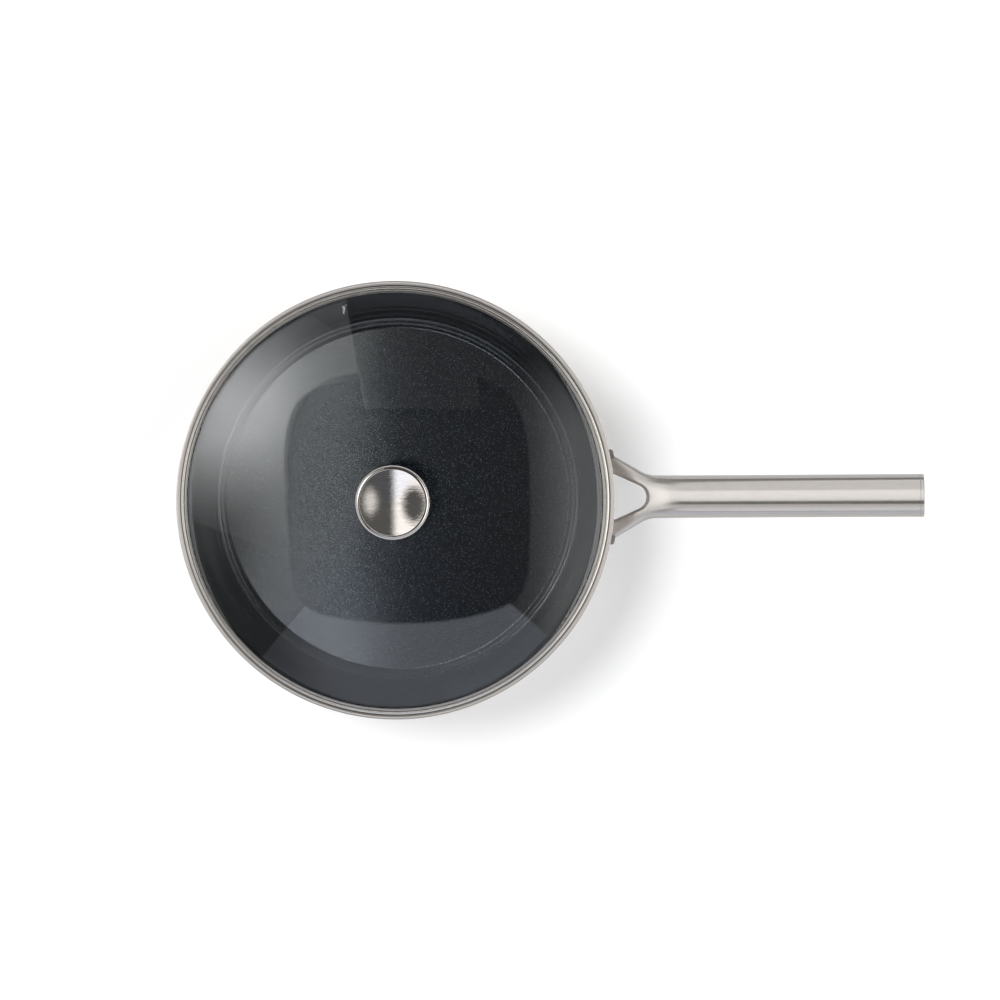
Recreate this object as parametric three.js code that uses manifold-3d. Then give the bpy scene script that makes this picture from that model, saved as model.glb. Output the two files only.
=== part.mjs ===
// A skillet of 28 cm with a forked hollow handle and a domed glass lid that lifts off.
// Millimetres, +Z up, +X along the handle. The origin is the centre of the base's underside.
import * as THREE from "three";
import { mergeVertices } from "three/addons/utils/BufferGeometryUtils.js";
import Module from "manifold-3d";

const wasm = await Module();
wasm.setup();

// Clearances
const bond = 0.05; // between layers that are brazed, sprayed or clamped together
const fit = 0.3; // between pieces that slide or drop into each other

// Bowl
const rimRadius = 144.5; // outer edge of the pouring lip
const panHeight = 70; // top of the lip above the table
const panSheet = 1;
const floorRadius = 118.7; // flat part of the floor
const cornerRadius = 4.5; // bend between floor and wall
const lipRadius = 5.2; // bend of the pouring lip
const lipOverrun = 0.9; // how far the lip runs past the crest of its bend
const coatingThickness = 0.2;

// Base
const capInset = 5.7; // from the edge of the flat floor to the side of the base
const capSheet = 0.6;
const capEdgeRadius = 3;
const coreThickness = 5;

// Handle, with distances along it counted from the pan's outer edge
const handleLength = 200.3; // to the end of the tube, which is cut plumb
const tubeWidth = 28.2;
const tubeHeight = 18;
const tubeWall = 1.5;
const tubeRise = THREE.MathUtils.degToRad(18); // slope of the tube above the table
const tubeSquareness = 2.3; // 2 is an ellipse, more is squarer
const neckDistance = 25.5; // where the legs bend into the tube
const neckDrop = 13; // of that bend below the rim
const neckBend = 1.2; // softness of that bend
const legDrop = THREE.MathUtils.degToRad(20); // slope of the legs down to the wall
const legSpread = THREE.MathUtils.degToRad(30.5); // outer edge of a leg, from the tube's axis
const legHeight = 9.5; // at the wall
const legSquareness = 4;
const forkDistance = 22.3; // where the legs' outer edges would meet the tube's sides
const forkBlend = 3.3; // softness of that meeting
const windowDistance = 21; // round end of the window between the legs
const windowRadius = 8.6;
const windowSpread = THREE.MathUtils.degToRad(24.5); // inner edge of a leg
const neckWall = 6; // solid metal between the window and the hollow of the tube
const plugLength = 9; // of the end cap inside the tube
const plugFlange = 2.4;
const plugEdge = 1.2; // rounding of the flange

// Feet on the wall, with a pocket for the end of each leg
const legInset = 1; // end of a leg inside the pan's outer edge, under the lip
const footDistance = 2.7; // outer face beyond the pan's outer edge
const footEar = 4.2; // width that stands out beside the leg
const footHeight = 21;
const footShoulder = 11; // height of the outer face
const footToe = 2.2; // thickness at the bottom
const footStep = 0.8; // top below the leg's top
const footRounding = 1.8; // of the ear, seen from above

// Lid
const lidSheet = 0.6;
const beadRadius = 1.05; // rolled bead that sits on the pouring lip
const beadInset = 4.35; // from the pan's outer edge to the middle of the bead
const grooveWidth = 0.5; // between the bead and the crimped channel
const crimpReach = 2; // of the channel's upper leaf over the glass
const skirtDepth = 5;
const skirtGap = 1; // between the skirt and the pan's wall
const glassThickness = 4;
const domeRise = 24; // crown of the glass above its edge

// Knob and its fastening
const knobRadius = 24.4;
const knobHeight = 27;
const knobSheet = 1.2;
const knobRim = 2.8; // rounding of the rim
const dishCurve = 430; // radius of the dished top
const knobCapDepth = 6.5;
const knobWaist = 9.5;
const knobFoot = 12.5;
const knobFootEdge = 2; // rounding at the foot
const collarDepth = 3; // of the knob's body inside its cap
const bossRadius = 5;
const bossFlangeHeight = 2;
const bossRoof = 2; // closed end above the thread
const screwRadius = 2.4;
const screwReach = 8; // of the screw inside the boss
const screwHeadRadius = 4.6;
const screwHeadHeight = 2.8;
const recessWidth = 1.1;
const recessLength = 5.2;
const recessDepth = 1.5;
const glassHole = 5;
const gasketRadius = 12;
const lowerGasketRadius = 9;
const gasketThickness = 1.5;
const washerRadius = 8;
const washerThickness = 1;
const springRadius = 4.4;
const springThickness = 1.2;
const springGap = 0.9; // cut of the split ring

// Facets
const largeSides = 48;
const knobSides = 24;
const smallSides = 16;
const arcSteps = 3; // a round bend has twice as many chords
const sheetSteps = 2; // the same for the bowl and its base
const tubeSides = 28;
const forkStations = 11;
const boreStations = 4;
const windowSteps = 8;

const finishes = {
  steel: { color: 0xb9b4ae, roughness: 0.34, metalness: 1 },
  polishedSteel: { color: 0xc9c5c0, roughness: 0.2, metalness: 1 },
  aluminium: { color: 0xcfd0d2, roughness: 0.45, metalness: 1 },
  ceramic: { color: 0x2f383d, roughness: 0.3, metalness: 0 },
  glass: { color: 0xdfe8e6, roughness: 0.03, metalness: 0, transparent: true, opacity: 0.25 },
  silicone: { color: 0x2a2b2d, roughness: 0.6, metalness: 0 },
};

// A geometry as a solid, for joining and cutting.
function solidFrom(geometry) {
  const bare = geometry.clone();
  bare.deleteAttribute("normal");
  bare.deleteAttribute("uv");
  const welded = mergeVertices(bare, 1e-4);
  return new wasm.Manifold(
    new wasm.Mesh({
      numProp: 3,
      vertProperties: welded.attributes.position.array,
      triVerts: new Uint32Array(welded.index.array),
    }),
  );
}

function geometryFrom(solid) {
  const mesh = solid.getMesh();
  const geometry = new THREE.BufferGeometry();
  geometry.setAttribute("position", new THREE.BufferAttribute(mesh.vertProperties, 3));
  geometry.setIndex(new THREE.BufferAttribute(mesh.triVerts, 1));
  geometry.computeVertexNormals();
  return geometry;
}

// The points of a path moved sideways, to its left where the distance is positive.
// A path that starts on the axis leaves it squarely.
function offset(points, distance) {
  return points.map((point, i) => {
    if (point.x === 0) return new THREE.Vector2(0, point.y + distance);
    const before = points[Math.max(i - 1, 0)];
    const after = points[Math.min(i + 1, points.length - 1)];
    const into = point.clone().sub(before).normalize();
    const out = after.clone().sub(point).normalize();
    const along = into.add(out).normalize();
    return new THREE.Vector2(point.x - along.y * distance, point.y + along.x * distance);
  });
}

// The outline of a sheet that lies between two offsets of a path.
function sheet(points, right, left) {
  return [...offset(points, right), ...offset(points, left).reverse()];
}

// A solid of revolution about Z. Its outline, in radius and height, is a loop or ends on the axis.
function revolve(outline, sides) {
  const turned = THREE.ShapeUtils.area(outline) < 0 ? [...outline].reverse() : outline;
  const onAxis = turned[0].x === 0 || turned.at(-1).x === 0;
  const profile = onAxis ? turned : [...turned, turned[0]];
  return new THREE.LatheGeometry(profile, sides).rotateX(Math.PI / 2);
}

// A ring or disc between two heights. A bore of 0 gives a disc.
function disc(bore, radius, bottom, top, sides) {
  return revolve(
    [
      new THREE.Vector2(bore, bottom),
      new THREE.Vector2(radius, bottom),
      new THREE.Vector2(radius, top),
      new THREE.Vector2(bore, top),
    ],
    sides,
  );
}

// 0 where x is well below zero, x where it is well above, with a round bend of half-width blend between.
function smoothRamp(x, blend) {
  if (x < -blend) return 0;
  if (x > blend) return x;
  return (x + blend) ** 2 / (4 * blend);
}

// Bowl, seen in section: floor, corner, straight wall and flared lip

const coreTop = capSheet + bond + coreThickness;
const floorHeight = coreTop + bond + panSheet;
const corner = new THREE.Vector2(floorRadius, floorHeight + cornerRadius);
const lip = new THREE.Vector2(rimRadius - lipOverrun, panHeight - lipRadius);
const span = lip.clone().sub(corner);
const wallSlope = span.angle() + Math.asin((cornerRadius + lipRadius) / span.length());
const wallFoot = new THREE.Vector2(
  corner.x + cornerRadius * Math.sin(wallSlope),
  corner.y - cornerRadius * Math.cos(wallSlope),
);

function wallRadiusAt(height) {
  return wallFoot.x + (height - wallFoot.y) / Math.tan(wallSlope);
}

function bowlPath(withLip) {
  const path = new THREE.Path();
  path.moveTo(0, floorHeight);
  path.lineTo(floorRadius, floorHeight);
  path.absarc(corner.x, corner.y, cornerRadius, -Math.PI / 2, wallSlope - Math.PI / 2);
  const crest = Math.acos(lipOverrun / lipRadius);
  const start = wallSlope + Math.PI / 2;
  if (withLip) path.absarc(lip.x, lip.y, lipRadius, start, crest, true);
  else path.lineTo(lip.x + lipRadius * Math.cos(start), lip.y + lipRadius * Math.sin(start));
  return path.getPoints(sheetSteps);
}

function bowlGeometry() {
  return revolve(sheet(bowlPath(true), -panSheet, 0), largeSides);
}

function coatingGeometry() {
  return revolve(sheet(bowlPath(false), bond, bond + coatingThickness), largeSides);
}

// Base: an aluminium disc in a pressed steel cap

function capPath() {
  const capRadius = floorRadius - capInset;
  const path = new THREE.Path();
  path.moveTo(0, 0);
  path.lineTo(capRadius - capEdgeRadius, 0);
  path.absarc(capRadius - capEdgeRadius, capEdgeRadius, capEdgeRadius, -Math.PI / 2, 0);
  path.lineTo(capRadius, coreTop);
  return path.getPoints(sheetSteps);
}

function capGeometry() {
  return revolve(sheet(capPath(), 0, capSheet), largeSides);
}

function coreGeometry() {
  const outside = offset(capPath(), capSheet + bond);
  return revolve([...outside, new THREE.Vector2(0, coreTop)], largeSides);
}

// Handle: one loft from the spread legs to the tube, with the window cut through and the tube hollowed

const neckReach = rimRadius + neckDistance;
const neckHeight = panHeight - neckDrop;
const tubeStart = neckReach + tubeHeight;
const handleReach = rimRadius + handleLength;
const tubeEnd = handleReach - plugFlange - fit;
const windowCentre = rimRadius + windowDistance - windowRadius;
const footReach = rimRadius + footDistance;
const legReach = rimRadius - legInset;

// Height of the handle's middle line at a distance from the pan's axis.
function handleHeightAt(x) {
  const bend = (neckReach - x) * (Math.tan(legDrop) - Math.tan(tubeRise));
  return neckHeight + (x - neckReach) * Math.tan(tubeRise) - smoothRamp(bend, neckBend);
}

// An upright cross-section of the handle, with the outline moved in by inset.
function handleSection(x, inset) {
  const slope = Math.atan(handleHeightAt(x + 0.5) - handleHeightAt(x - 0.5));
  const spread = smoothRamp((rimRadius + forkDistance - x) * Math.tan(legSpread), forkBlend);
  const flattening = THREE.MathUtils.smoothstep(tubeStart - x, 0, tubeStart - rimRadius);
  const halfWidth = tubeWidth / 2 + spread - inset;
  const halfHeight = THREE.MathUtils.lerp(tubeHeight, legHeight, flattening) / 2 - inset;
  const power = 2 / THREE.MathUtils.lerp(tubeSquareness, legSquareness, flattening);
  return { x, z: handleHeightAt(x), slope, halfWidth, halfHeight, power };
}

// A closed skin over a row of cross-sections.
function loft(sections) {
  const points = [];
  for (const { x, z, slope, halfWidth, halfHeight, power } of sections) {
    for (let i = 0; i < tubeSides; i++) {
      const angle = (i / tubeSides) * 2 * Math.PI;
      const across = Math.sign(Math.cos(angle)) * Math.abs(Math.cos(angle)) ** power * halfWidth;
      const up = Math.sign(Math.sin(angle)) * Math.abs(Math.sin(angle)) ** power * halfHeight;
      points.push(x, across, z + up / Math.cos(slope));
    }
  }
  const faces = [];
  const last = (sections.length - 1) * tubeSides;
  for (let i = 0; i < tubeSides; i++) {
    const next = (i + 1) % tubeSides;
    for (let ring = 0; ring < last; ring += tubeSides) {
      faces.push(ring + i, ring + next, ring + tubeSides + i);
      faces.push(ring + next, ring + tubeSides + next, ring + tubeSides + i);
    }
    if (i > 0 && i < tubeSides - 1) {
      faces.push(0, i + 1, i);
      faces.push(last, last + i, last + i + 1);
    }
  }
  const geometry = new THREE.BufferGeometry();
  geometry.setAttribute("position", new THREE.Float32BufferAttribute(points, 3));
  geometry.setIndex(faces);
  return geometry;
}

// The handle's skin from one place to another, close where the legs turn into the tube.
function handleLoft(from, to, inset, stations) {
  const sections = [];
  for (let i = 0; i <= stations; i++) {
    sections.push(handleSection(THREE.MathUtils.lerp(from, tubeStart, i / stations), inset));
  }
  sections.push(handleSection(to, inset));
  return loft(sections);
}

// Half the gap between the legs' straight inner edges.
function windowHalfWidthAt(x) {
  return windowRadius / Math.cos(windowSpread) + (windowCentre - x) * Math.tan(windowSpread);
}

// The round-ended gap between the legs, open towards the pan.
function windowGeometry() {
  const tangent = Math.PI / 2 - windowSpread;
  const outline = new THREE.Shape();
  outline.absarc(windowCentre, 0, windowRadius, -tangent, tangent);
  outline.lineTo(0, windowHalfWidthAt(0));
  outline.lineTo(0, -windowHalfWidthAt(0));
  return new THREE.ExtrudeGeometry(outline, {
    depth: 2 * neckHeight,
    bevelEnabled: false,
    curveSegments: windowSteps,
  });
}

// The handle's outside, moved in by inset and cut off round at a distance from the pan's axis.
function handleBody(reach, inset) {
  const panSide = disc(0, reach, 0, 2 * panHeight, largeSides);
  return solidFrom(handleLoft(floorRadius, tubeEnd, inset, forkStations)).subtract(solidFrom(panSide));
}

function handleGeometry() {
  const boreStart = rimRadius + windowDistance + neckWall;
  const bore = handleLoft(boreStart, handleReach + tubeHeight, tubeWall, boreStations);
  const body = handleBody(legReach, 0).subtract(solidFrom(windowGeometry()));
  return geometryFrom(body.subtract(solidFrom(bore)));
}

function endCapGeometry() {
  const seat = tubeEnd + fit;
  return loft([
    handleSection(seat - plugLength, tubeWall + fit + plugEdge),
    handleSection(seat - plugLength + plugEdge, tubeWall + fit),
    handleSection(seat, tubeWall + fit),
    handleSection(seat, 0),
    handleSection(handleReach - plugEdge, 0),
    handleSection(handleReach - plugEdge / 3, plugEdge / 3),
    handleSection(handleReach, plugEdge),
  ]);
}

// Left foot: curved to the wall, with a pocket for the leg, a slanted underside and a round ear beside the leg.
function footGeometry() {
  const wall = (height) => wallRadiusAt(height) + (panSheet + fit) / Math.sin(wallSlope);
  const top = handleHeightAt(legReach) + legHeight / 2 - footStep;
  const bottom = top - footHeight;
  const shoulder = top - footShoulder;
  const section = new THREE.Path();
  section.moveTo(wall(top), top);
  section.lineTo(wall(bottom), bottom);
  section.lineTo(wall(bottom) + footToe, bottom);
  section.quadraticCurveTo(wall(shoulder) + footToe, (bottom + shoulder) / 2, footReach, shoulder);
  section.lineTo(rimRadius + neckDistance, shoulder);
  section.lineTo(rimRadius + neckDistance, top);
  const ring = revolve(section.getPoints(2 * arcSteps), largeSides);

  const near = windowHalfWidthAt(rimRadius);
  const far = handleSection(rimRadius, 0).halfWidth + footEar;
  const earHeight = far - footRounding;
  const earAngle = Math.asin(earHeight / (footReach - footRounding));
  const earReach = earHeight / Math.tan(earAngle);
  const outline = new THREE.Shape();
  outline.absarc(0, 0, footReach, Math.asin(near / footReach), earAngle);
  outline.absarc(earReach, earHeight, footRounding, earAngle, Math.PI / 2);
  outline.lineTo(0, far);
  outline.lineTo(0, near);
  const prism = new THREE.ExtrudeGeometry(outline, {
    depth: panHeight,
    bevelEnabled: false,
    curveSegments: 2 * arcSteps,
  });
  const pocket = handleBody(legReach - fit, -fit);
  return geometryFrom(solidFrom(ring).intersect(solidFrom(prism)).subtract(pocket));
}

// Lid, in heights above the middle of its bead, which sits on the pouring lip

const beadRing = rimRadius - beadInset;
const lidHeight = lip.y + Math.sqrt((lipRadius + beadRadius + fit) ** 2 - (lip.x - beadRing) ** 2);
const plateTop = lidSheet; // the band is folded double between bead and skirt
const plateBottom = -lidSheet;
const channelOutside = beadRing - beadRadius - grooveWidth;
const channelInside = channelOutside - lidSheet;
const glassRadius = channelInside - fit;
const domeRadius = (glassRadius ** 2 + domeRise ** 2) / (2 * domeRise);
const domeCentre = plateTop + bond + domeRise - domeRadius;

// Height of the glass at a distance from the axis: its underside, or a surface that lies higher.
function glassHeightAt(radius, above = 0) {
  return domeCentre + Math.sqrt((domeRadius + above) ** 2 - radius ** 2);
}

function glassGeometry() {
  const upper = domeRadius + glassThickness;
  const path = new THREE.Path();
  const inside = Math.acos(glassHole / domeRadius);
  path.absarc(0, domeCentre, domeRadius, inside, Math.acos(glassRadius / domeRadius), true);
  path.absarc(0, domeCentre, upper, Math.acos(glassRadius / upper), Math.acos(glassHole / upper));
  return revolve(path.getPoints(arcSteps), largeSides);
}

// Band: skirt, folded plate, rolled bead and the channel that is crimped over the edge of the glass.
function bandGeometry() {
  const skirtBottom = plateBottom - skirtDepth;
  const skirtOutside = wallRadiusAt(lidHeight + skirtBottom) - bond - coatingThickness - skirtGap;
  const fold = Math.asin(lidSheet / beadRadius);
  const slope = Math.asin(glassRadius / domeRadius);
  const crimp = new THREE.Vector2(channelInside, glassHeightAt(channelInside, glassThickness) + bond);
  const leaf = (crimpReach - lidSheet) / Math.cos(slope);
  const leafEnd = new THREE.Vector2(-leaf * Math.cos(slope), leaf * Math.sin(slope)).add(crimp);
  const outline = new THREE.Path();
  outline.moveTo(skirtOutside - lidSheet, skirtBottom);
  outline.lineTo(skirtOutside, skirtBottom);
  outline.lineTo(skirtOutside, plateBottom);
  outline.absarc(beadRing, 0, beadRadius, fold - Math.PI, Math.PI - fold);
  outline.lineTo(channelOutside, plateTop);
  outline.lineTo(channelOutside, crimp.y);
  const bend = new THREE.Vector2(Math.sin(slope), Math.cos(slope)).multiplyScalar(lidSheet);
  outline.quadraticCurveTo(channelOutside, crimp.y + bend.y, crimp.x + bend.x, crimp.y + bend.y);
  outline.lineTo(leafEnd.x + bend.x, leafEnd.y + bend.y);
  outline.lineTo(leafEnd.x, leafEnd.y);
  outline.lineTo(crimp.x, crimp.y);
  outline.lineTo(channelInside, plateTop);
  outline.lineTo(skirtOutside - lidSheet, plateTop);
  return revolve(outline.getPoints(arcSteps), largeSides);
}

// Knob and fastening, in heights above the crown of the glass

const crown = glassHeightAt(0, glassThickness);
const knobBase = bond + gasketThickness + bond;
const knobTop = knobBase + knobHeight;
const collar = knobTop - knobCapDepth;
const clearHole = screwRadius + fit;
const lowerGasketTop = glassHeightAt(lowerGasketRadius) - crown - fit;
const washerTop = lowerGasketTop - gasketThickness - bond;
const springTop = washerTop - washerThickness - bond;
const screwSeat = springTop - springThickness - bond;

// Dished top with a round rim and a short skirt.
function knobCapGeometry() {
  const edge = (knobRadius - knobRim) / (1 + knobRim / dishCurve);
  const slope = Math.asin(edge / dishCurve);
  const rimCentre = new THREE.Vector2(knobRadius - knobRim, knobTop - knobRim);
  const dishCentre = rimCentre.y + (knobRim + dishCurve) * Math.cos(slope);
  const path = new THREE.Path();
  path.absarc(0, dishCentre, dishCurve, -Math.PI / 2, slope - Math.PI / 2);
  path.absarc(rimCentre.x, rimCentre.y, knobRim, Math.PI / 2 + slope, 0, true);
  path.lineTo(knobRadius, collar);
  const points = path.getPoints(arcSteps);
  points[0].x = 0;
  return revolve(sheet(points, -knobSheet, 0), knobSides);
}

// Trumpet-shaped shell from the foot through the waist to the collar inside the cap.
function knobBodyGeometry() {
  const collarRadius = knobRadius - knobSheet - fit;
  const waistHeight = knobBase + 2 * knobFootEdge + knobSheet;
  const path = new THREE.Path();
  path.moveTo(bossRadius + fit, knobBase);
  path.lineTo(knobFoot - knobFootEdge, knobBase);
  path.absarc(knobFoot - knobFootEdge, knobBase + knobFootEdge, knobFootEdge, -Math.PI / 2, 0);
  path.quadraticCurveTo(knobWaist, waistHeight - knobSheet, knobWaist, waistHeight + knobSheet);
  path.quadraticCurveTo(knobWaist, collar - collarDepth, collarRadius, collar);
  path.lineTo(collarRadius, collar + collarDepth);
  return revolve(sheet(path.getPoints(arcSteps), 0, knobSheet), knobSides);
}

// Blind threaded boss, flanged on the floor of the knob's shell.
function bossGeometry() {
  const boreTop = knobBase + screwReach + fit;
  const flangeBottom = knobBase + knobSheet + bond;
  const flangeRadius = knobWaist - knobSheet - 3 * fit;
  const corners = [
    [0, boreTop],
    [clearHole, boreTop],
    [clearHole, knobBase],
    [bossRadius, knobBase],
    [bossRadius, flangeBottom],
    [flangeRadius, flangeBottom],
    [flangeRadius, flangeBottom + bossFlangeHeight],
    [bossRadius, flangeBottom + bossFlangeHeight],
    [bossRadius, boreTop + bossRoof],
    [0, boreTop + bossRoof],
  ];
  return revolve(corners.map(([r, z]) => new THREE.Vector2(r, z)), smallSides);
}

// Sleeve that keeps the screw off the glass.
function bushGeometry() {
  return disc(clearHole, glassHole - fit, lowerGasketTop + bond, 0, smallSides);
}

function washerGeometry() {
  return disc(clearHole, washerRadius, washerTop - washerThickness, washerTop, smallSides);
}

function springGeometry() {
  const ring = disc(clearHole, springRadius, springTop - springThickness, springTop, smallSides);
  const cut = new THREE.BoxGeometry(2 * springRadius, springGap, 4 * springThickness);
  cut.translate(springRadius, 0, springTop);
  return geometryFrom(solidFrom(ring).subtract(solidFrom(cut)));
}

// Pan-head screw with a cross recess, put in from below.
function screwGeometry() {
  const headBottom = screwSeat - screwHeadHeight;
  const section = new THREE.Path();
  section.moveTo(0, headBottom);
  section.lineTo(screwHeadRadius - screwHeadHeight / 2, headBottom);
  section.quadraticCurveTo(screwHeadRadius, headBottom, screwHeadRadius, headBottom + screwHeadHeight / 2);
  section.lineTo(screwHeadRadius, screwSeat);
  section.lineTo(screwRadius, screwSeat);
  section.lineTo(screwRadius, knobBase + screwReach);
  section.lineTo(0, knobBase + screwReach);
  let screw = solidFrom(revolve(section.getPoints(arcSteps), smallSides));
  for (const [length, width] of [[recessLength, recessWidth], [recessWidth, recessLength]]) {
    const slot = new THREE.BoxGeometry(length, width, 2 * recessDepth);
    screw = screw.subtract(solidFrom(slot.translate(0, 0, headBottom)));
  }
  return geometryFrom(screw);
}

// Assembly: the knob stands on the lid, and the lid on the pan

function piece(name, geometry, finish) {
  const mesh = new THREE.Mesh(geometry, new THREE.MeshStandardMaterial(finishes[finish]));
  mesh.name = name;
  return mesh;
}

function gasket(name, radius, top) {
  return piece(name, disc(clearHole, radius, top - gasketThickness, top, smallSides), "silicone");
}

const knob = new THREE.Group();
knob.position.z = crown;
knob.add(
  piece("knob_cap", knobCapGeometry(), "polishedSteel"),
  piece("knob_body", knobBodyGeometry(), "steel"),
  piece("knob_boss", bossGeometry(), "steel"),
  gasket("knob_gasket", gasketRadius, knobBase - bond),
  piece("glass_bush", bushGeometry(), "silicone"),
  gasket("lower_gasket", lowerGasketRadius, lowerGasketTop),
  piece("washer", washerGeometry(), "steel"),
  piece("spring_washer", springGeometry(), "steel"),
  piece("knob_screw", screwGeometry(), "steel"),
);

const lid = new THREE.Group();
lid.position.z = lidHeight;
lid.add(
  piece("lid_glass", glassGeometry(), "glass"),
  piece("lid_band", bandGeometry(), "polishedSteel"),
  knob,
);

const leftFoot = piece("handle_foot_left", footGeometry(), "steel");
const rightFoot = piece("handle_foot_right", leftFoot.geometry, "steel");
rightFoot.scale.y = -1;

const pan = new THREE.Group();
pan.add(
  piece("pan_bowl", bowlGeometry(), "steel"),
  piece("ceramic_coating", coatingGeometry(), "ceramic"),
  piece("base_core", coreGeometry(), "aluminium"),
  piece("base_cap", capGeometry(), "steel"),
  piece("handle", handleGeometry(), "steel"),
  piece("handle_end_cap", endCapGeometry(), "steel"),
  leftFoot,
  rightFoot,
);

const skillet = new THREE.Group();
skillet.add(pan, lid);

export default skillet;
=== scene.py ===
"""A steel skillet with a glass lid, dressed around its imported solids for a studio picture."""
import math

import bmesh
import bpy
from bpy.props import FloatProperty, FloatVectorProperty, PointerProperty
from mathutils import Matrix, Vector


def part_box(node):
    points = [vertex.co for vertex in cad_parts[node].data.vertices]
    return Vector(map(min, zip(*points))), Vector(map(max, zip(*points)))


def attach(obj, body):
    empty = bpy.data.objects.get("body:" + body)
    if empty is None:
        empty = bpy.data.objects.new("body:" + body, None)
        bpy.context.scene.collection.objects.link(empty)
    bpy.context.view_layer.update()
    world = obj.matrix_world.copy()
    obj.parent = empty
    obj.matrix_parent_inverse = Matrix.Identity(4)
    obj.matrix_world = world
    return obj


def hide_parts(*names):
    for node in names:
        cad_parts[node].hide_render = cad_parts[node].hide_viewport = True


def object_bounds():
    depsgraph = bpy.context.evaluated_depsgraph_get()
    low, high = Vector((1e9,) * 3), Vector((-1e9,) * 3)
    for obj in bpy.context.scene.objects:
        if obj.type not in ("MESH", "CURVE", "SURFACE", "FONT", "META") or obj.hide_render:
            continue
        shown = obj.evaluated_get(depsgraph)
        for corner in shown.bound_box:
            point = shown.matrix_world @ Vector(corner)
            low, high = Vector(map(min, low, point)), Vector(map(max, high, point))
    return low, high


bl_info = {
    "name": "Skillet with Lid",
    "version": (1, 0, 0),
    "blender": (4, 5, 0),
    "location": "3D View > Sidebar > Skillet",
    "description": "Builds a lined steel skillet with a forked handle and a glass lid",
    "category": "Add Mesh",
}

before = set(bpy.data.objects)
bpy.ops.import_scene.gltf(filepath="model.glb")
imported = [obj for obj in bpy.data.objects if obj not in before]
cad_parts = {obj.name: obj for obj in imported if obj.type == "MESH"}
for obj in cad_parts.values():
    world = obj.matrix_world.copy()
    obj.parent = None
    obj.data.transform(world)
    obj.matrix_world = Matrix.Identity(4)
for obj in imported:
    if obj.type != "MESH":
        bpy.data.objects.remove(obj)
solid_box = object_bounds()


def round_reach(node):
    """Radius of a node that is round about the pan's axis."""
    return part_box(node)[1].y


def length(name, description, default):
    """A size in metres."""
    return FloatProperty(
        name=name, description=description, default=default,
        min=0, precision=5, unit="LENGTH", subtype="DISTANCE",
    )


def turn(name, description, degrees):
    """An angle, written in degrees."""
    return FloatProperty(
        name=name, description=description, default=math.radians(degrees),
        unit="ROTATION", subtype="ANGLE",
    )


def share(name, description, default, most=1.0):
    """A plain amount."""
    return FloatProperty(
        name=name, description=description, default=default, min=0, max=most, subtype="FACTOR"
    )


def colour(name, description, default):
    """A colour, as its red, green and blue."""
    return FloatVectorProperty(
        name=name, description=description, default=default, min=0, max=1, size=3, subtype="COLOR"
    )


def place(name, description, default):
    """A place in the scene."""
    return FloatVectorProperty(
        name=name, description=description, default=default, unit="LENGTH", subtype="TRANSLATION"
    )


class PanSizes(bpy.types.PropertyGroup):
    """Sizes of the bowl, its lining and its base."""

    rim_radius: length("Rim radius", "Outer edge of the pouring lip", round_reach("pan_bowl"))
    height: length("Height", "Top of the lip above the table", 0.07)
    sheet: length("Sheet", "Thickness of the bowl's steel", 0.001)
    floor_radius: length("Floor radius", "Flat part of the floor", 0.1187)
    corner_radius: length("Corner radius", "Bend of the steel between floor and wall", 0.0045)
    lining_bend: length("Lining bend", "Bend of the lining between floor and wall", 0.011)
    lip_radius: length("Lip radius", "Bend of the pouring lip", 0.0052)
    lip_overrun: length("Lip overrun", "How far the lip runs past the crest of its bend", 0.0009)
    lip_edge: length("Lip edge", "Rounding of the lip's cut edge", 0.00045)
    lining: length("Lining", "Thickness of the ceramic lining", 0.0002)
    bond: length("Bond", "Gap between layers", 0.00005)
    fit: length("Fit", "Gap between pieces", 0.0003)
    cap_sheet: length("Base cap sheet", "Thickness of the base cap", 0.0006)
    cap_edge: length("Base cap edge", "Rounding round the underside", 0.003)
    cap_cut: length("Base cap cut", "Rounding of the base cap's upper edge", 0.0002)


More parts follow.
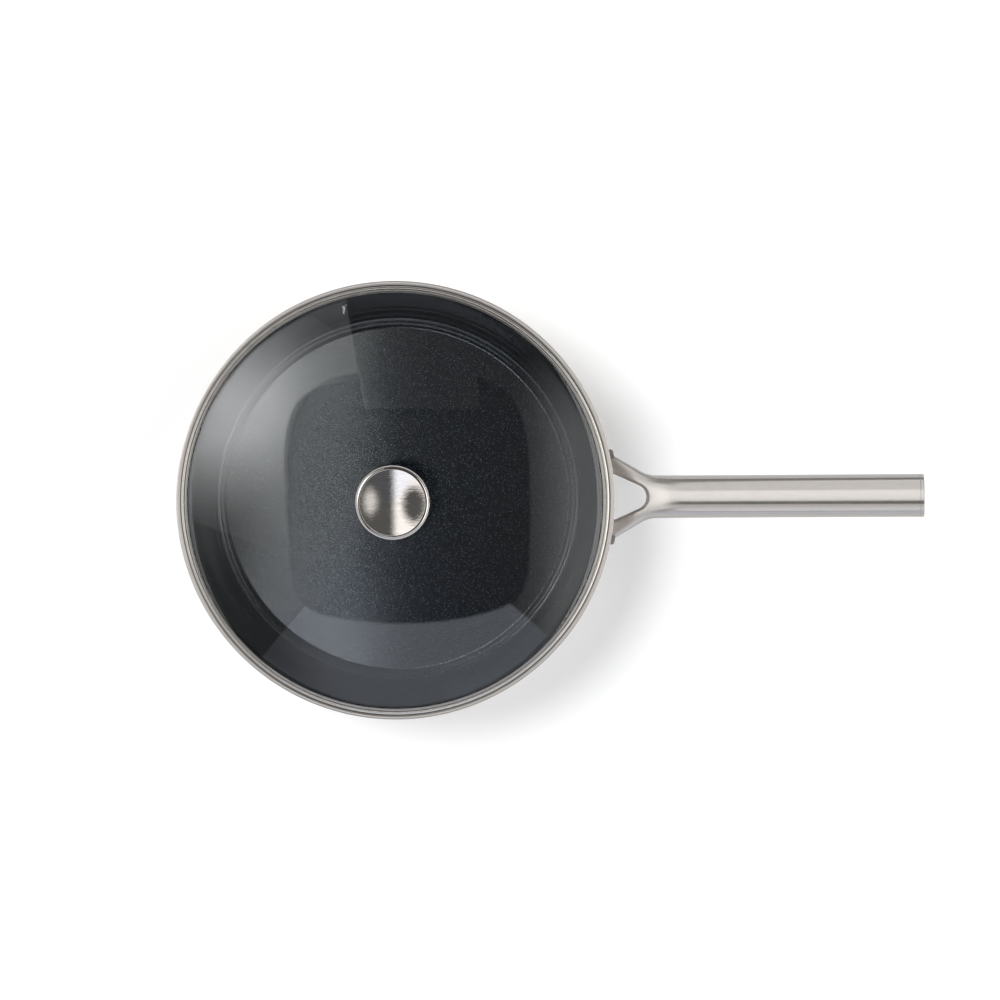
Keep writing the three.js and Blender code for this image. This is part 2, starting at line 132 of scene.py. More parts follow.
class HandleSizes(bpy.types.PropertyGroup):
    """Sizes of the forked handle, with distances counted from the pan's outer edge."""

    tube_width: length("Tube width", "Width of the tube", 0.0282)
    tube_height: length("Tube height", "Height of the tube", 0.018)
    tube_wall: length("Tube wall", "Thickness of the tube's wall", 0.0015)
    tube_rise: turn("Tube rise", "Slope of the tube above the table", 18)
    neck_distance: length("Neck distance", "Where the legs bend into the tube", 0.0255)
    neck_drop: length("Neck drop", "Depth of that bend below the rim", 0.013)
    neck_bend: length("Neck bend", "Softness of that bend", 0.0012)
    leg_drop: turn("Leg drop", "Slope of the legs down to the wall", 20)
    leg_spread: turn("Leg spread", "Outer edge of a leg, from the tube's axis", 30.5)
    leg_height: length("Leg height", "Height of a leg at the wall", 0.0095)
    fork_distance: length("Fork distance", "Where the legs meet the tube's sides", 0.0223)
    fork_blend: length("Fork blend", "Softness of that meeting", 0.0033)
    window_distance: length("Window distance", "Round end of the window between the legs", 0.021)
    window_radius: length("Window radius", "Rounding of that end", 0.0086)
    window_spread: turn("Window spread", "Inner edge of a leg, from the tube's axis", 24.5)
    window_edge: length("Window edge", "Rounding of the window's edges", 0.0022)
    neck_wall: length("Neck wall", "Solid steel between the window and the hollow", 0.006)
    plug_length: length("Plug length", "Depth of the end cap inside the tube", 0.009)
    plug_flange: length("Plug flange", "Thickness of the end cap's flange", 0.0024)
    plug_edge: length("Plug edge", "Rounding of the flange", 0.0005)
    seam: length("Seam", "Chamfer where the end cap meets the tube", 0.0001)
    leg_inset: length("Leg inset", "End of a leg inside the pan's outer edge", 0.001)
    foot_distance: length("Foot distance", "Outer face of a foot beyond the pan's outer edge", 0.0027)
    foot_ear: length("Foot ear", "Width of a foot beside its leg", 0.0042)
    foot_height: length("Foot height", "Height of a foot", 0.021)
    foot_shoulder: length("Foot shoulder", "Height of a foot's outer face", 0.011)
    foot_toe: length("Foot toe", "Thickness at the bottom of a foot", 0.0022)
    foot_step: length("Foot step", "Top of a foot below the leg's top", 0.0008)
    foot_rounding: length("Foot rounding", "Rounding of the ear, seen from above", 0.0018)
    foot_edge: length("Foot edge", "Rounding of a foot's edges", 0.0006)


class LidSizes(bpy.types.PropertyGroup):
    """Sizes of the glass, its steel band and the knob."""

    sheet: length("Band sheet", "Thickness of the band's steel", 0.0006)
    bead_radius: length("Bead radius", "Rolled bead that sits on the pouring lip", 0.00105)
    bead_width: length("Bead width", "How far the bead is drawn out towards the glass", 0.0006)
    bead_inset: length("Bead inset", "From the pan's outer edge to the middle of the bead", 0.00435)
    groove: length("Groove", "Gap between the bead and the crimped channel", 0.0005)
    crimp_reach: length("Crimp reach", "Channel's upper leaf over the glass", 0.0013)
    skirt_depth: length("Skirt depth", "Skirt below the band's plate", 0.005)
    skirt_gap: length("Skirt gap", "Between the skirt and the pan's wall", 0.001)
    glass: length("Glass", "Thickness of the glass", 0.004)
    rise: length("Rise", "Crown of the glass above its edge", 0.024)
    knob_radius: length("Knob radius", "Outer edge of the knob", round_reach("knob_cap"))
    knob_sheet: length("Knob sheet", "Thickness of the knob's steel", 0.0012)
    knob_rim: length("Knob rim", "Rounding of the knob's rim", 0.0028)
    knob_dish: length("Knob dish", "Radius of the knob's dished top", 0.43)
    knob_cap_depth: length("Knob cap depth", "From the knob's rim to the lower edge of its cap", 0.0065)
    knob_waist: length("Knob waist", "Narrowest radius of the stem", 0.0095)
    knob_foot: length("Knob foot", "Radius of the stem's foot", 0.0125)
    knob_foot_edge: length("Knob foot edge", "Rounding of the stem's foot", 0.002)
    collar_depth: length("Collar depth", "Stem inside the cap", 0.003)
    glass_hole: length("Glass hole", "Hole in the crown of the glass", 0.005)
    glass_edge: length("Glass edge", "Rounding of the edges of the glass", 0.0008)
    band_edge: length("Band edge", "Rounding of the band's folds and cut edges", 0.00022)
    knob_cap_edge: length("Knob cap edge", "Rounding of the knob cap's lower edge", 0.0004)
    stem_bore: length("Stem bore", "Hole in the stem's foot", 0.0053)
    stem_edge: length("Stem edge", "Rounding of the stem's cut edges", 0.0003)
    screw_hole: length("Screw hole", "Hole in the gaskets and washers", 0.0027)
    gasket_edge: length("Gasket edge", "Rounding of the gaskets", 0.0005)
    washer_edge: length("Washer edge", "Rounding of the flat washer", 0.00025)
    sprung_edge: length("Sprung ring edge", "Rounding of the sprung ring", 0.0002)
    sprung_cut: length("Sprung ring cut", "Half the width of the sprung ring's cut", 0.00045)
    screw_head: length("Screw head", "Height of the screw's head", 0.0028)
    screw_shaft: length("Screw shaft", "Radius of the screw's shaft", 0.0024)
    screw_plain: length("Plain shaft", "Shaft below the thread", 0.0055)
    thread_depth: length("Thread depth", "Depth of the screw's thread", 0.00035)
    thread_pitch: length("Thread pitch", "From one turn of the thread to the next", 0.0008)
    screw_point: length("Screw point", "Chamfer at the screw's upper end", 0.0006)
    recess_width: length("Recess width", "Width of an arm of the screw's cross recess", 0.0011)
    recess_length: length("Recess length", "Length of an arm of the recess", 0.0052)
    recess_depth: length("Recess depth", "Depth of the recess", 0.0015)


class Finishes(bpy.types.PropertyGroup):
    """Colours of the materials."""

    pan_steel: colour("Pan steel", "Brushed steel of the bowl and its lip", (0.6, 0.565, 0.535))
    handle_steel: colour("Handle steel", "Satin steel of the handle", (0.6, 0.57, 0.545))
    band_steel: colour("Band steel", "Bright steel of the lid's band", (0.66, 0.635, 0.6))
    knob_steel: colour("Knob steel", "Brushed steel of the knob", (0.53, 0.5, 0.475))
    fastener_steel: colour("Fastener steel", "Plain steel of the screw and washers", (0.55, 0.54, 0.53))
    aluminium: colour("Aluminium", "Disc in the base", (0.76, 0.76, 0.77))
    lining: colour("Lining", "Ground of the ceramic lining", (0.0012, 0.002, 0.0034))
    fleck: colour("Fleck", "Fine flecks in the lining", (0.06, 0.079, 0.096))
    glass: colour("Glass", "Tint of the lid's glass", (0.945, 0.975, 0.995))
    silicone: colour("Silicone", "Gaskets", (0.02, 0.02, 0.022))


class Studio(bpy.types.PropertyGroup):
    """Camera, floor and the light tent round the object."""

    camera_place: place("Camera place", "Where the camera stands", (0.1125, 0.0814, 3.4944))
    camera_aim: place("Camera aim", "Point in the middle of the picture", (0.069, -0.00055, 0.07))
    camera_roll: turn("Camera roll", "Turn of the camera about its own line of sight", -0.75)
    lens: FloatProperty(
        name="Lens", description="Focal length in millimetres", default=187.3,
        min=1, subtype="DISTANCE_CAMERA",
    )
    floor: colour("Floor", "Pale floor", (0.85, 0.85, 0.85))
    floor_glow: share("Floor glow", "Light that lifts the floor to white", 0.2)
    key_place: place("Key place", "Where the soft key lamp hangs", (-0.47, 0.25, 0.583))
    key_aim: place("Key aim", "Point that the key lamp shines at", (-0.06, 0.03, 0.08))
    key_light: share("Key light", "Brightness in the middle of the key lamp", 4.8, 10)
    key_width: length("Key width", "Width of the key lamp", 0.7)
    fill_turn: turn("Fill direction", "Where the broad lamp stands, counted from the handle", 150)
    fill_height: turn("Fill height", "How high the broad lamp stands", 56)
    fill_spread: turn("Fill spread", "Width of the broad lamp", 34)
    fill_light: share("Fill light", "Brightness of the broad lamp", 2.1, 10)
    rim_light: share("Rim light", "Brightness of the panel that lights the rim", 1.05, 10)
    strip_light: share("Strip light", "Brightness of the panels that light the handle", 0.77, 10)
    left_light: share("Left light", "Brightness of the tent's left side", 0.55, 10)
    front_light: share("Front light", "Brightness of the tent's front", 0.85, 10)
    right_light: share("Right light", "Brightness of the tent's right side", 0.95, 10)
    back_light: share("Back light", "Brightness of the tent's back", 0.1, 10)
    panel_light: share("Panel light", "Brightness of the small panel overhead", 1.76, 10)
    opening: share("Opening", "Brightness of the opening above", 0.025, 10)
    flank_light: share("Flank light", "Brightness of the low panels at the left and right", 2.8, 10)
    horizon: share("Horizon", "Brightness low down all round", 0.8, 10)


class SkilletSettings(bpy.types.PropertyGroup):
    """Everything that can be changed."""

    pan: PointerProperty(type=PanSizes, name="Pan", description="Sizes of the pan")
    handle: PointerProperty(type=HandleSizes, name="Handle", description="Sizes of the handle")
    lid: PointerProperty(type=LidSizes, name="Lid", description="Sizes of the lid and knob")
    finishes: PointerProperty(type=Finishes, name="Finishes", description="Colours of the materials")
    studio: PointerProperty(type=Studio, name="Studio", description="Camera, floor and light")


# Materials as expressions


class Shade:
    """A socket of a node tree. Arithmetic on it adds Math nodes."""

    def __init__(self, finish, socket):
        self.finish = finish
        self.socket = socket

    def math(self, operation, *operands):
        return self.finish.add("ShaderNodeMath", {"operation": operation}, dict(enumerate(operands)))

    def __add__(self, other):
        return self.math("ADD", self, other)

    def __sub__(self, other):
        return self.math("SUBTRACT", self, other)

    def __rsub__(self, other):
        return self.math("SUBTRACT", other, self)

    def __mul__(self, other):
        return self.math("MULTIPLY", self, other)

    def __truediv__(self, other):
        return self.math("DIVIDE", self, other)

    def __rtruediv__(self, other):
        return self.math("DIVIDE", other, self)

    def __pow__(self, other):
        return self.math("POWER", self, other)

    def __neg__(self):
        return self * -1

    __radd__ = __add__
    __rmul__ = __mul__

    def most(self, other):
        return self.math("MAXIMUM", self, other)

    def ramp(self, low, high):
        """0 below low and 1 above high, with a soft step between."""
        inputs = {"Value": self, "From Min": low, "From Max": high}
        return self.finish.add("ShaderNodeMapRange", {"interpolation_type": "SMOOTHSTEP"}, inputs)

    def grow(self, low, high, least):
        """From least below low to 1 above high."""
        return least + self.ramp(low, high) * (1 - least)

    def fade(self, low, high, least):
        """From 1 below low to least above high."""
        return 1 - self.ramp(low, high) * (1 - least)


class Finish:
    """A node tree that is written as expressions."""

    def __init__(self, owner):
        owner.use_nodes = True
        self.owner = owner
        self.tree = owner.node_tree
        self.tree.nodes.clear()

    def add(self, kind, settings=None, inputs=None, output=0):
        """Adds a node and gives one of its outputs, if it has any."""
        node = self.tree.nodes.new(kind)
        for name, value in (settings or {}).items():
            setattr(node, name, value)
        for name, value in (inputs or {}).items():
            if isinstance(value, Shade):
                self.tree.links.new(value.socket, node.inputs[name])
            else:
                node.inputs[name].default_value = value
        return Shade(self, node.outputs[output]) if node.outputs else None

    def place(self):
        """Coordinates on the piece, in metres."""
        return self.add("ShaderNodeTexCoord", output="Object")

    def split(self, vector):
        node = self.add("ShaderNodeSeparateXYZ", inputs={"Vector": vector}).socket.node
        return [Shade(self, output) for output in node.outputs]

    def join(self, x, y, z):
        return self.add("ShaderNodeCombineXYZ", inputs={"X": x, "Y": y, "Z": z})

    def stretch(self, vector, factors):
        return self.add("ShaderNodeVectorMath", {"operation": "MULTIPLY"}, {0: vector, 1: factors})

    def noise(self, vector, scale, detail):
        inputs = {"Vector": vector, "Scale": scale, "Detail": detail, "Roughness": 0.55}
        return self.add("ShaderNodeTexNoise", inputs=inputs)

    def mix(self, factor, first, second):
        """Blends two colours."""
        first, second = (value if isinstance(value, Shade) else (*value, 1) for value in (first, second))
        inputs = {0: factor, 6: first, 7: second}
        return self.add("ShaderNodeMix", {"data_type": "RGBA"}, inputs, output=2)

    def tint(self, value, ground):
        """A colour times a value."""
        ground = ground if isinstance(ground, Shade) else tuple(ground)
        return self.add("ShaderNodeVectorMath", {"operation": "SCALE"}, {0: ground, "Scale": value})

    def bump(self, height, distance, strength):
        inputs = {"Height": height, "Distance": distance, "Strength": strength}
        return self.add("ShaderNodeBump", inputs=inputs)

    def principled(self, **inputs):
        named = {name.replace("_", " "): value for name, value in inputs.items()}
        return self.add("ShaderNodeBsdfPrincipled", inputs=named)

    def rays(self, *kinds):
        """1 for rays of any of the kinds."""
        path = self.add("ShaderNodeLightPath").socket.node
        found, *others = (Shade(self, path.outputs[f"Is {kind} Ray"]) for kind in kinds)
        for other in others:
            found = found.most(other)
        return found

    def done(self, shader, kind="ShaderNodeOutputMaterial"):
        """Ends the tree in its output and gives what the tree belongs to."""
        self.add(kind, inputs={"Surface": shader})
        return self.owner


def new_finish(name):
    return Finish(bpy.data.materials.new(name))


def times(ground, factor):
    """A colour made darker or lighter."""
    return tuple(min(channel * factor, 1) for channel in ground)


def along_grain(finish, low, high):
    """Coordinates for brush lines that run along the handle."""
    return finish.stretch(finish.place(), (low, high, high))


def round_grain(finish, low, high):
    """Coordinates for brush lines that run round the axis."""
    x, y, z = finish.split(finish.place())
    reach = (x * x + y * y) ** 0.5
    heading = x.math("ARCTAN2", y, x)
    return finish.join(reach * high, z * high, heading * low)


# Depth of the brush lines, and how dark painted shade makes steel in its crevices, in the band's channel
# and on the handle's flanks
BRUSH_DEPTH = 0.00004
PAINTED_CREVICE_SHADE = 0.22
PAINTED_CHANNEL_SHADE = 0.55
PAINTED_FLANK_SHADE = 0.62


def brushed_steel(
    name, ground, grain, gloss, low, high, depth, dull=None, crevice_shade_width=None, painted_shade_inside=None, flanks=None
):
    """Steel with fine brush lines, faint broad streaks and the clouding of use.

    The lines vary by low along their run and by high across it. The steel may also be duller up to a place
    along the handle. Its colour may carry painted shade: darker in crevices of a given width, found by
    ambient occlusion, darker inside a radius, and darker where it faces sideways.
    """
    finish = new_finish(name)
    lines = finish.noise(grain(finish, low, high), 1.0, 3.0)
    streaks = finish.noise(grain(finish, low * 0.4, high * 0.12), 1.0, 1.0)
    cloud = finish.noise(finish.place(), 38.0, 3.0)
    rough = (lines * 0.45 + streaks * 0.3 + cloud * 0.25 + 0.5) * gloss
    if dull:
        x, _, _ = finish.split(finish.place())
        rough = rough * (1 + (1 - x.ramp(*dull)) * 1.5)
    body = finish.mix(lines * 0.6 + streaks * 0.4, times(ground, 0.86), times(ground, 1.08))
    # Painted shade: the band's steel is darkened inside the channel's radius, where the channel lies in
    # shade
    if painted_shade_inside:
        x, y, _ = finish.split(finish.place())
        reach = (x * x + y * y) ** 0.5
        body = finish.mix(reach.ramp(*painted_shade_inside), times(ground, PAINTED_CHANNEL_SHADE), body)
    # Painted shade: steel that faces sideways is darkened, standing in for the dark reflections along the
    # handle's edges
    if flanks:
        _, side, _ = finish.split(finish.add("ShaderNodeNewGeometry", output="Normal"))
        body = finish.mix((side * side).ramp(*flanks), body, times(ground, PAINTED_FLANK_SHADE))
    # Painted shade: steel is darkened in crevices, where ambient occlusion finds little open air
    if crevice_shade_width:
        air = finish.add("ShaderNodeAmbientOcclusion", {"samples": 16}, {"Distance": crevice_shade_width}, output="AO")
        body = finish.mix(air.ramp(0.3, 0.8), times(ground, PAINTED_CREVICE_SHADE), body)
    return finish.done(
        finish.principled(
            Base_Color=body,
            Metallic=1.0,
            Roughness=rough,
            Normal=finish.bump(lines + streaks * 0.5, BRUSH_DEPTH, depth),
        )
    )


def lining_ceramic(name, ground, fleck):
    """Dark glazed ceramic that mirrors, with fine flecks under the glaze and faint rings on the wall."""
    finish = new_finish(name)
    place_on = finish.place()
    x, y, z = finish.split(place_on)
    flecks = {"Vector": place_on, "Scale": 1500.0}
    cells = finish.add("ShaderNodeTexVoronoi", inputs=flecks, output="Distance")
    centre = finish.add("ShaderNodeTexVoronoi", inputs=flecks, output="Position")
    pick = finish.add("ShaderNodeTexWhiteNoise", {"noise_dimensions": "3D"}, {"Vector": centre})
    sparkle = (1 - cells.ramp(0.15, 0.5)) * pick.ramp(0.5, 1.0)
    cloud = finish.noise(place_on, 60.0, 4.0)
    rings = finish.noise(finish.join(z * 420.0, x.math("ARCTAN2", y, x) * 0.7, 0.0), 1.0, 2.0)
    under = finish.mix(cloud, times(ground, 0.8), times(ground, 1.25))
    return finish.done(
        finish.principled(
            Base_Color=finish.mix(sparkle, under, fleck),
            Roughness=0.055 + sparkle * 0.03,
            IOR=1.75,
            Normal=finish.bump(rings, 0.00012, 0.35),
        )
    )


def lid_glass_finish(name, tint):
    """Clear tempered glass, faintly wavy, that lets lamps through to what is under it."""
    finish = new_finish(name)
    wave = finish.noise(finish.place(), 26.0, 1.0)
    glass = finish.principled(
        Base_Color=(*tint, 1),
        Roughness=0.0,
        IOR=1.5,
        Transmission_Weight=1.0,
        Normal=finish.bump(wave, 0.00012, 0.35),
    )
    through = finish.rays("Shadow", "Diffuse")
    clear = finish.add("ShaderNodeBsdfTransparent", inputs={"Color": (0.94, 0.96, 0.955, 1)})
    return finish.done(finish.add("ShaderNodeMixShader", inputs={0: through, 1: glass, 2: clear}))


def silicone_finish(name, ground):
    """Matte silicone with a fine moulded grain."""
    finish = new_finish(name)
    grain = finish.noise(finish.place(), 2600.0, 2.0)
    cloud = finish.noise(finish.place(), 220.0, 2.0)
    return finish.done(
        finish.principled(
            Base_Color=finish.mix(cloud, times(ground, 0.8), times(ground, 1.3)),
            Roughness=0.5 + grain * 0.2,
            Normal=finish.bump(grain, 0.00004, 0.4),
        )
    )


def floor_finish(name, ground, glow):
    """Pale floor that keeps the object's shadow and is lifted to white where it is lit."""
    finish = new_finish(name)
    soft = finish.noise(finish.place(), 3.0, 2.0)
    lift = finish.rays("Camera", "Glossy", "Transmission") * glow
    return finish.done(
        finish.principled(
            Base_Color=finish.mix(soft, times(ground, 0.985), ground),
            Roughness=0.9,
            Specular_IOR_Level=0.0,
            Emission_Color=finish.tint(lift, (1.0, 1.0, 1.0)),
            Emission_Strength=1.0,
        )
    )


# Outlines and meshes

# Sides of a turned piece: the pan and band, other wide pieces, the knob, small rings and the screw
RIM_SIDES = 288
WIDE_SIDES = 256
KNOB_SIDES = 128
RING_SIDES = 96
SCREW_SIDES = 64

# A corner that bends more than this, in radians, is rounded, over no more than this share of its two edges
SHARP_BEND = 0.45
ROUNDED_SHARE = 0.45

# Points closer than this are one point
SAME_POINT = 1e-7
NO_LENGTH = 1e-8


def arc(centre, radius, start, end, steps):
    """Points of an arc in a section, from one angle to another."""
    angles = (start + (end - start) * i / steps for i in range(steps + 1))
    return [Vector((centre[0] + radius * math.cos(a), centre[1] + radius * math.sin(a))) for a in angles]


def curve(start, handle, end, steps):
    """Points of a quadratic curve, without its first."""
    start, handle, end = Vector(start), Vector(handle), Vector(end)
    points = []
    for i in range(1, steps + 1):
        t = i / steps
        points.append((1 - t) ** 2 * start + 2 * t * (1 - t) * handle + t * t * end)
    return points


def offset(points, distance):
    """A path moved sideways, to its left where the distance is positive."""
    moved = []
    for i, point in enumerate(points):
        if point.x == 0:
            moved.append(Vector((0, point.y + distance)))
            continue
        into = (point - points[max(i - 1, 0)]).normalized()
        out = (points[min(i + 1, len(points) - 1)] - point).normalized()
        along = (into + out).normalized()
        moved.append(Vector((point.x - along.y * distance, point.y + along.x * distance)))
    return moved


def sheet(points, right, left):
    """Outline of a sheet between two offsets of a path."""
    return offset(points, right) + offset(points, left)[::-1]


def soften(outline, radius, steps=3):
    """Rounds the sharp corners of a closed outline. Corners on the axis stay."""
    points = []
    for i, point in enumerate(outline):
        before = outline[i - 1] - point
        after = outline[(i + 1) % len(outline)] - point
        if point.x == 0 or before.length == 0 or after.length == 0:
            points.append(point)
            continue
        bend = math.pi - before.angle(after)
        if bend < SHARP_BEND:
            points.append(point)
            continue
        most = ROUNDED_SHARE * min(before.length, after.length)
        cut = min(radius * math.tan(bend / 2), most)
        start = point + before.normalized() * cut
        end = point + after.normalized() * cut
        points += [start] + curve(start, point, end, steps)
    return points


def mesh_from(name, build):
    """A mesh filled by a function that is given a BMesh."""
    shape = bmesh.new()
    build(shape)
    bmesh.ops.remove_doubles(shape, verts=shape.verts, dist=SAME_POINT)
    bmesh.ops.dissolve_degenerate(shape, edges=shape.edges, dist=NO_LENGTH)
    bmesh.ops.recalc_face_normals(shape, faces=shape.faces)
    mesh = bpy.data.meshes.new(name)
    shape.to_mesh(mesh)
    shape.free()
    return mesh


def turned(point, angle):
    """A point of a section, turned about the axis."""
    return Vector((point.x * math.cos(angle), point.x * math.sin(angle), point.y))


def revolve(name, outline, sides):
    """A closed outline in radius and height, turned about the axis."""
    headings = [2 * math.pi * i / sides for i in range(sides)]

    def build(shape):
        rings = []
        for point in outline:
            if point.x == 0:
                rings.append([shape.verts.new((0, 0, point.y))] * sides)
            else:
                rings.append([shape.verts.new(turned(point, angle)) for angle in headings])
        for i, ring in enumerate(rings):
            following = rings[(i + 1) % len(rings)]
            for j in range(sides):
                k = (j + 1) % sides
                corners = list(dict.fromkeys((ring[j], ring[k], following[k], following[j])))
                if len(corners) > 2:
                    shape.faces.new(corners)

    return mesh_from(name, build)


def skin(name, rings):
    """A closed skin over a row of rings of points."""

    def build(shape):
        rows = [[shape.verts.new(point) for point in ring] for ring in rings]
        for row, following in zip(rows, rows[1:]):
            for j in range(len(row)):
                k = (j + 1) % len(row)
                shape.faces.new((row[j], row[k], following[k], following[j]))
        shape.faces.new(rows[0][::-1])
        shape.faces.new(rows[-1])

    return mesh_from(name, build)


def bevelled(mesh, width):
    """A mesh with its sharp edges rounded."""
    shape = bmesh.new()
    shape.from_mesh(mesh)
    edges = [edge for edge in shape.edges if edge.calc_face_angle(0) > math.radians(40)]
    bmesh.ops.bevel(
        shape, geom=edges, offset=width, segments=3, profile=0.5, affect="EDGES", clamp_overlap=True
    )
    shape.to_mesh(mesh)
    shape.free()
    return mesh


def carve(mesh, tool):
    """A mesh with the shape of another cut out of it."""
    body, cutter = (bpy.data.objects.new("carving", data) for data in (mesh, tool))
    for item in (body, cutter):
        bpy.context.scene.collection.objects.link(item)
    cut = body.modifiers.new("cut", "BOOLEAN")
    cut.object, cut.operation, cut.solver = cutter, "DIFFERENCE", "EXACT"
    carved = bpy.data.meshes.new_from_object(body.evaluated_get(bpy.context.evaluated_depsgraph_get()))
    for item in (body, cutter):
        bpy.data.objects.remove(item)
    return carved


def add_piece(name, mesh, material, body, node, crease=40):
    """Puts a mesh in the scene as a piece that stands for a node and rides on a body."""
    for polygon in mesh.polygons:
        polygon.use_smooth = True
    mesh.set_sharp_from_angle(angle=math.radians(crease))
    mesh.materials.append(material)
    piece = bpy.data.objects.new(name, mesh)
    bpy.context.scene.collection.objects.link(piece)
    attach(piece, body)
    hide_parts(node)


def add_round(name, outline, sides, material, body, node):
    """Turns an outline about the axis and adds it as a piece."""
    add_piece(name, revolve(name, outline, sides), material, body, node)


def finish_of(piece):
    """The finish of a piece that is built already."""
    return bpy.data.objects[piece].active_material


def dress(node, material):
    """Gives a solid that stays its material."""
    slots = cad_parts[node].data.materials
    slots.clear()
    slots.append(material)


# Sections that several pieces share


class PanSection:
    """The bowl in section: floor, corner, straight wall and flared lip."""

    # Rings on the straight wall, close to both bends so that it shades straight
    wall_shares = (0.002, 0.2, 0.4, 0.6, 0.8, 0.998)

    def __init__(self, sizes):
        self.sizes = sizes
        self.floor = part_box("pan_bowl")[0].z + sizes.sheet
        self.corner = Vector((sizes.floor_radius, self.floor + sizes.corner_radius))
        self.lip = Vector((sizes.rim_radius - sizes.lip_overrun, sizes.height - sizes.lip_radius))
        span = self.lip - self.corner
        tilt = math.asin((sizes.corner_radius + sizes.lip_radius) / span.length)
        self.slope = math.atan2(span.y, span.x) + tilt
        outward = Vector((math.sin(self.slope), -math.cos(self.slope)))
        self.foot = self.corner + sizes.corner_radius * outward

    def wall_radius(self, height):
        return self.foot.x + (height - self.foot.y) / math.tan(self.slope)

    def path(self, with_lip, bend):
        """Points from the axis to the lip; a wider bend at the floor's edge starts nearer to the axis."""
        sizes = self.sizes
        flat = sizes.floor_radius - (bend - sizes.corner_radius) * math.tan(self.slope / 2)
        points = [Vector((radius, self.floor)) for radius in (0, flat * 0.5, flat - sizes.bond)]
        points += arc((flat, self.floor + bend), bend, -math.pi / 2, self.slope - math.pi / 2, 16)
        lower, start = points[-1], self.slope + math.pi / 2
        upper = self.lip + sizes.lip_radius * Vector((math.cos(start), math.sin(start)))
        points += [lower.lerp(upper, t) for t in self.wall_shares]
        if not with_lip:
            return points + [upper]
        end = math.acos(sizes.lip_overrun / sizes.lip_radius)
        return points + arc(self.lip, sizes.lip_radius, start, end, 14)


class LidSection:
    """The lid in section, in heights above the table."""

    def __init__(self, lid, pan):
        section = PanSection(pan)
        self.lid, self.pan, self.section = lid, pan, section
        self.bead = Vector((pan.rim_radius - lid.bead_inset, 0))
        seat = pan.lip_radius + lid.bead_radius + pan.fit
        self.bead.y = section.lip.y + math.sqrt(seat**2 - (section.lip.x - self.bead.x) ** 2)
        self.plate_top = self.bead.y + lid.sheet
        self.plate_bottom = self.bead.y - lid.sheet
        self.channel_outside = self.bead.x - lid.bead_radius - lid.bead_width - lid.groove
        self.channel_inside = self.channel_outside - lid.sheet
        self.glass_radius = self.channel_inside - pan.fit
        self.dome = (self.glass_radius**2 + lid.rise**2) / (2 * lid.rise)
        self.dome_centre = self.plate_top + pan.bond + lid.rise - self.dome
        self.crown = self.glass_height(0, lid.glass)

    def glass_height(self, radius, above=0.0):
        return self.dome_centre + math.sqrt((self.dome + above) ** 2 - radius**2)


class HandleForm:
    """The handle's middle line and its cross-sections, which flatten and spread into two legs."""

    # How square the outline of a cross-section is: 2 is an ellipse
    tube_squareness = 2.3
    leg_squareness = 4

    def __init__(self, sizes, pan):
        self.sizes, self.pan = sizes, pan
        self.neck = pan.rim_radius + sizes.neck_distance
        self.tube_start = self.neck + sizes.tube_height
        self.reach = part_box("handle_end_cap")[1].x
        self.tube_end = self.reach - sizes.plug_flange - pan.bond
        self.window_centre = pan.rim_radius + sizes.window_distance - sizes.window_radius
        self.window_end = pan.rim_radius + sizes.window_distance
        self.foot_reach = pan.rim_radius + sizes.foot_distance
        self.leg_reach = pan.rim_radius - sizes.leg_inset

    @staticmethod
    def on_circle(reach, across):
        """Where an edge, given as its distance across at x, meets a circle round the pan's axis."""
        x = reach
        for _ in range(12):
            x = math.sqrt(reach**2 - across(x) ** 2)
        return x

    @staticmethod
    def bend(x, blend):
        if x < -blend:
            return 0.0
        return x if x > blend else (x + blend) ** 2 / (4 * blend)

    def height(self, x):
        sizes = self.sizes
        fall = (self.neck - x) * (math.tan(sizes.leg_drop) - math.tan(sizes.tube_rise))
        line = self.pan.height - sizes.neck_drop + (x - self.neck) * math.tan(sizes.tube_rise)
        return line - self.bend(fall, sizes.neck_bend)

    def half_width(self, x):
        sizes = self.sizes
        spread = (self.pan.rim_radius + sizes.fork_distance - x) * math.tan(sizes.leg_spread)
        return sizes.tube_width / 2 + self.bend(spread, sizes.fork_blend)

    def flattening(self, x):
        share_along = (self.tube_start - x) / (self.tube_start - self.pan.rim_radius)
        share_along = min(max(share_along, 0), 1)
        return share_along**2 * (3 - 2 * share_along)

    def power(self, x):
        """Exponent of a cross-section's outline."""
        squarer = (self.leg_squareness - self.tube_squareness) * self.flattening(x)
        return 2 / (self.tube_squareness + squarer)

    def point(self, x, theta, inset=0.0):
        """A point of the upper half of a cross-section; theta is 0 at the side and a right angle on top."""
        sizes, power = self.sizes, self.power(x)
        flatter = (sizes.leg_height - sizes.tube_height) * self.flattening(x)
        half_height = (sizes.tube_height + flatter) / 2
        across = (self.half_width(x) - inset) * max(math.cos(theta), 0) ** power
        return across, (half_height - inset) * max(math.sin(theta), 0) ** power

    def place(self, x, across, up):
        """Where a point of an upright cross-section lies."""
        step = 0.0005
        slope = math.atan((self.height(x + step) - self.height(x - step)) / (2 * step))
        return Vector((x, across, self.height(x) + up / math.cos(slope)))

    def window_half_width(self, x):
        spread = self.sizes.window_spread
        return self.sizes.window_radius / math.cos(spread) + (self.window_centre - x) * math.tan(spread)

    def from_window(self, x, y):
        """Distance of a place, seen from above, from the window's edge."""
        sizes = self.sizes
        if math.atan2(y, x - self.window_centre) < math.pi / 2 - sizes.window_spread:
            return math.hypot(x - self.window_centre, y) - sizes.window_radius
        return (y - self.window_half_width(x)) * math.cos(sizes.window_spread)

    def theta_at(self, x, y):
        """Angle of the point of a cross-section that lies at a distance across."""
        return math.acos(min(max(y / self.half_width(x), 0), 1) ** (1 / self.power(x)))


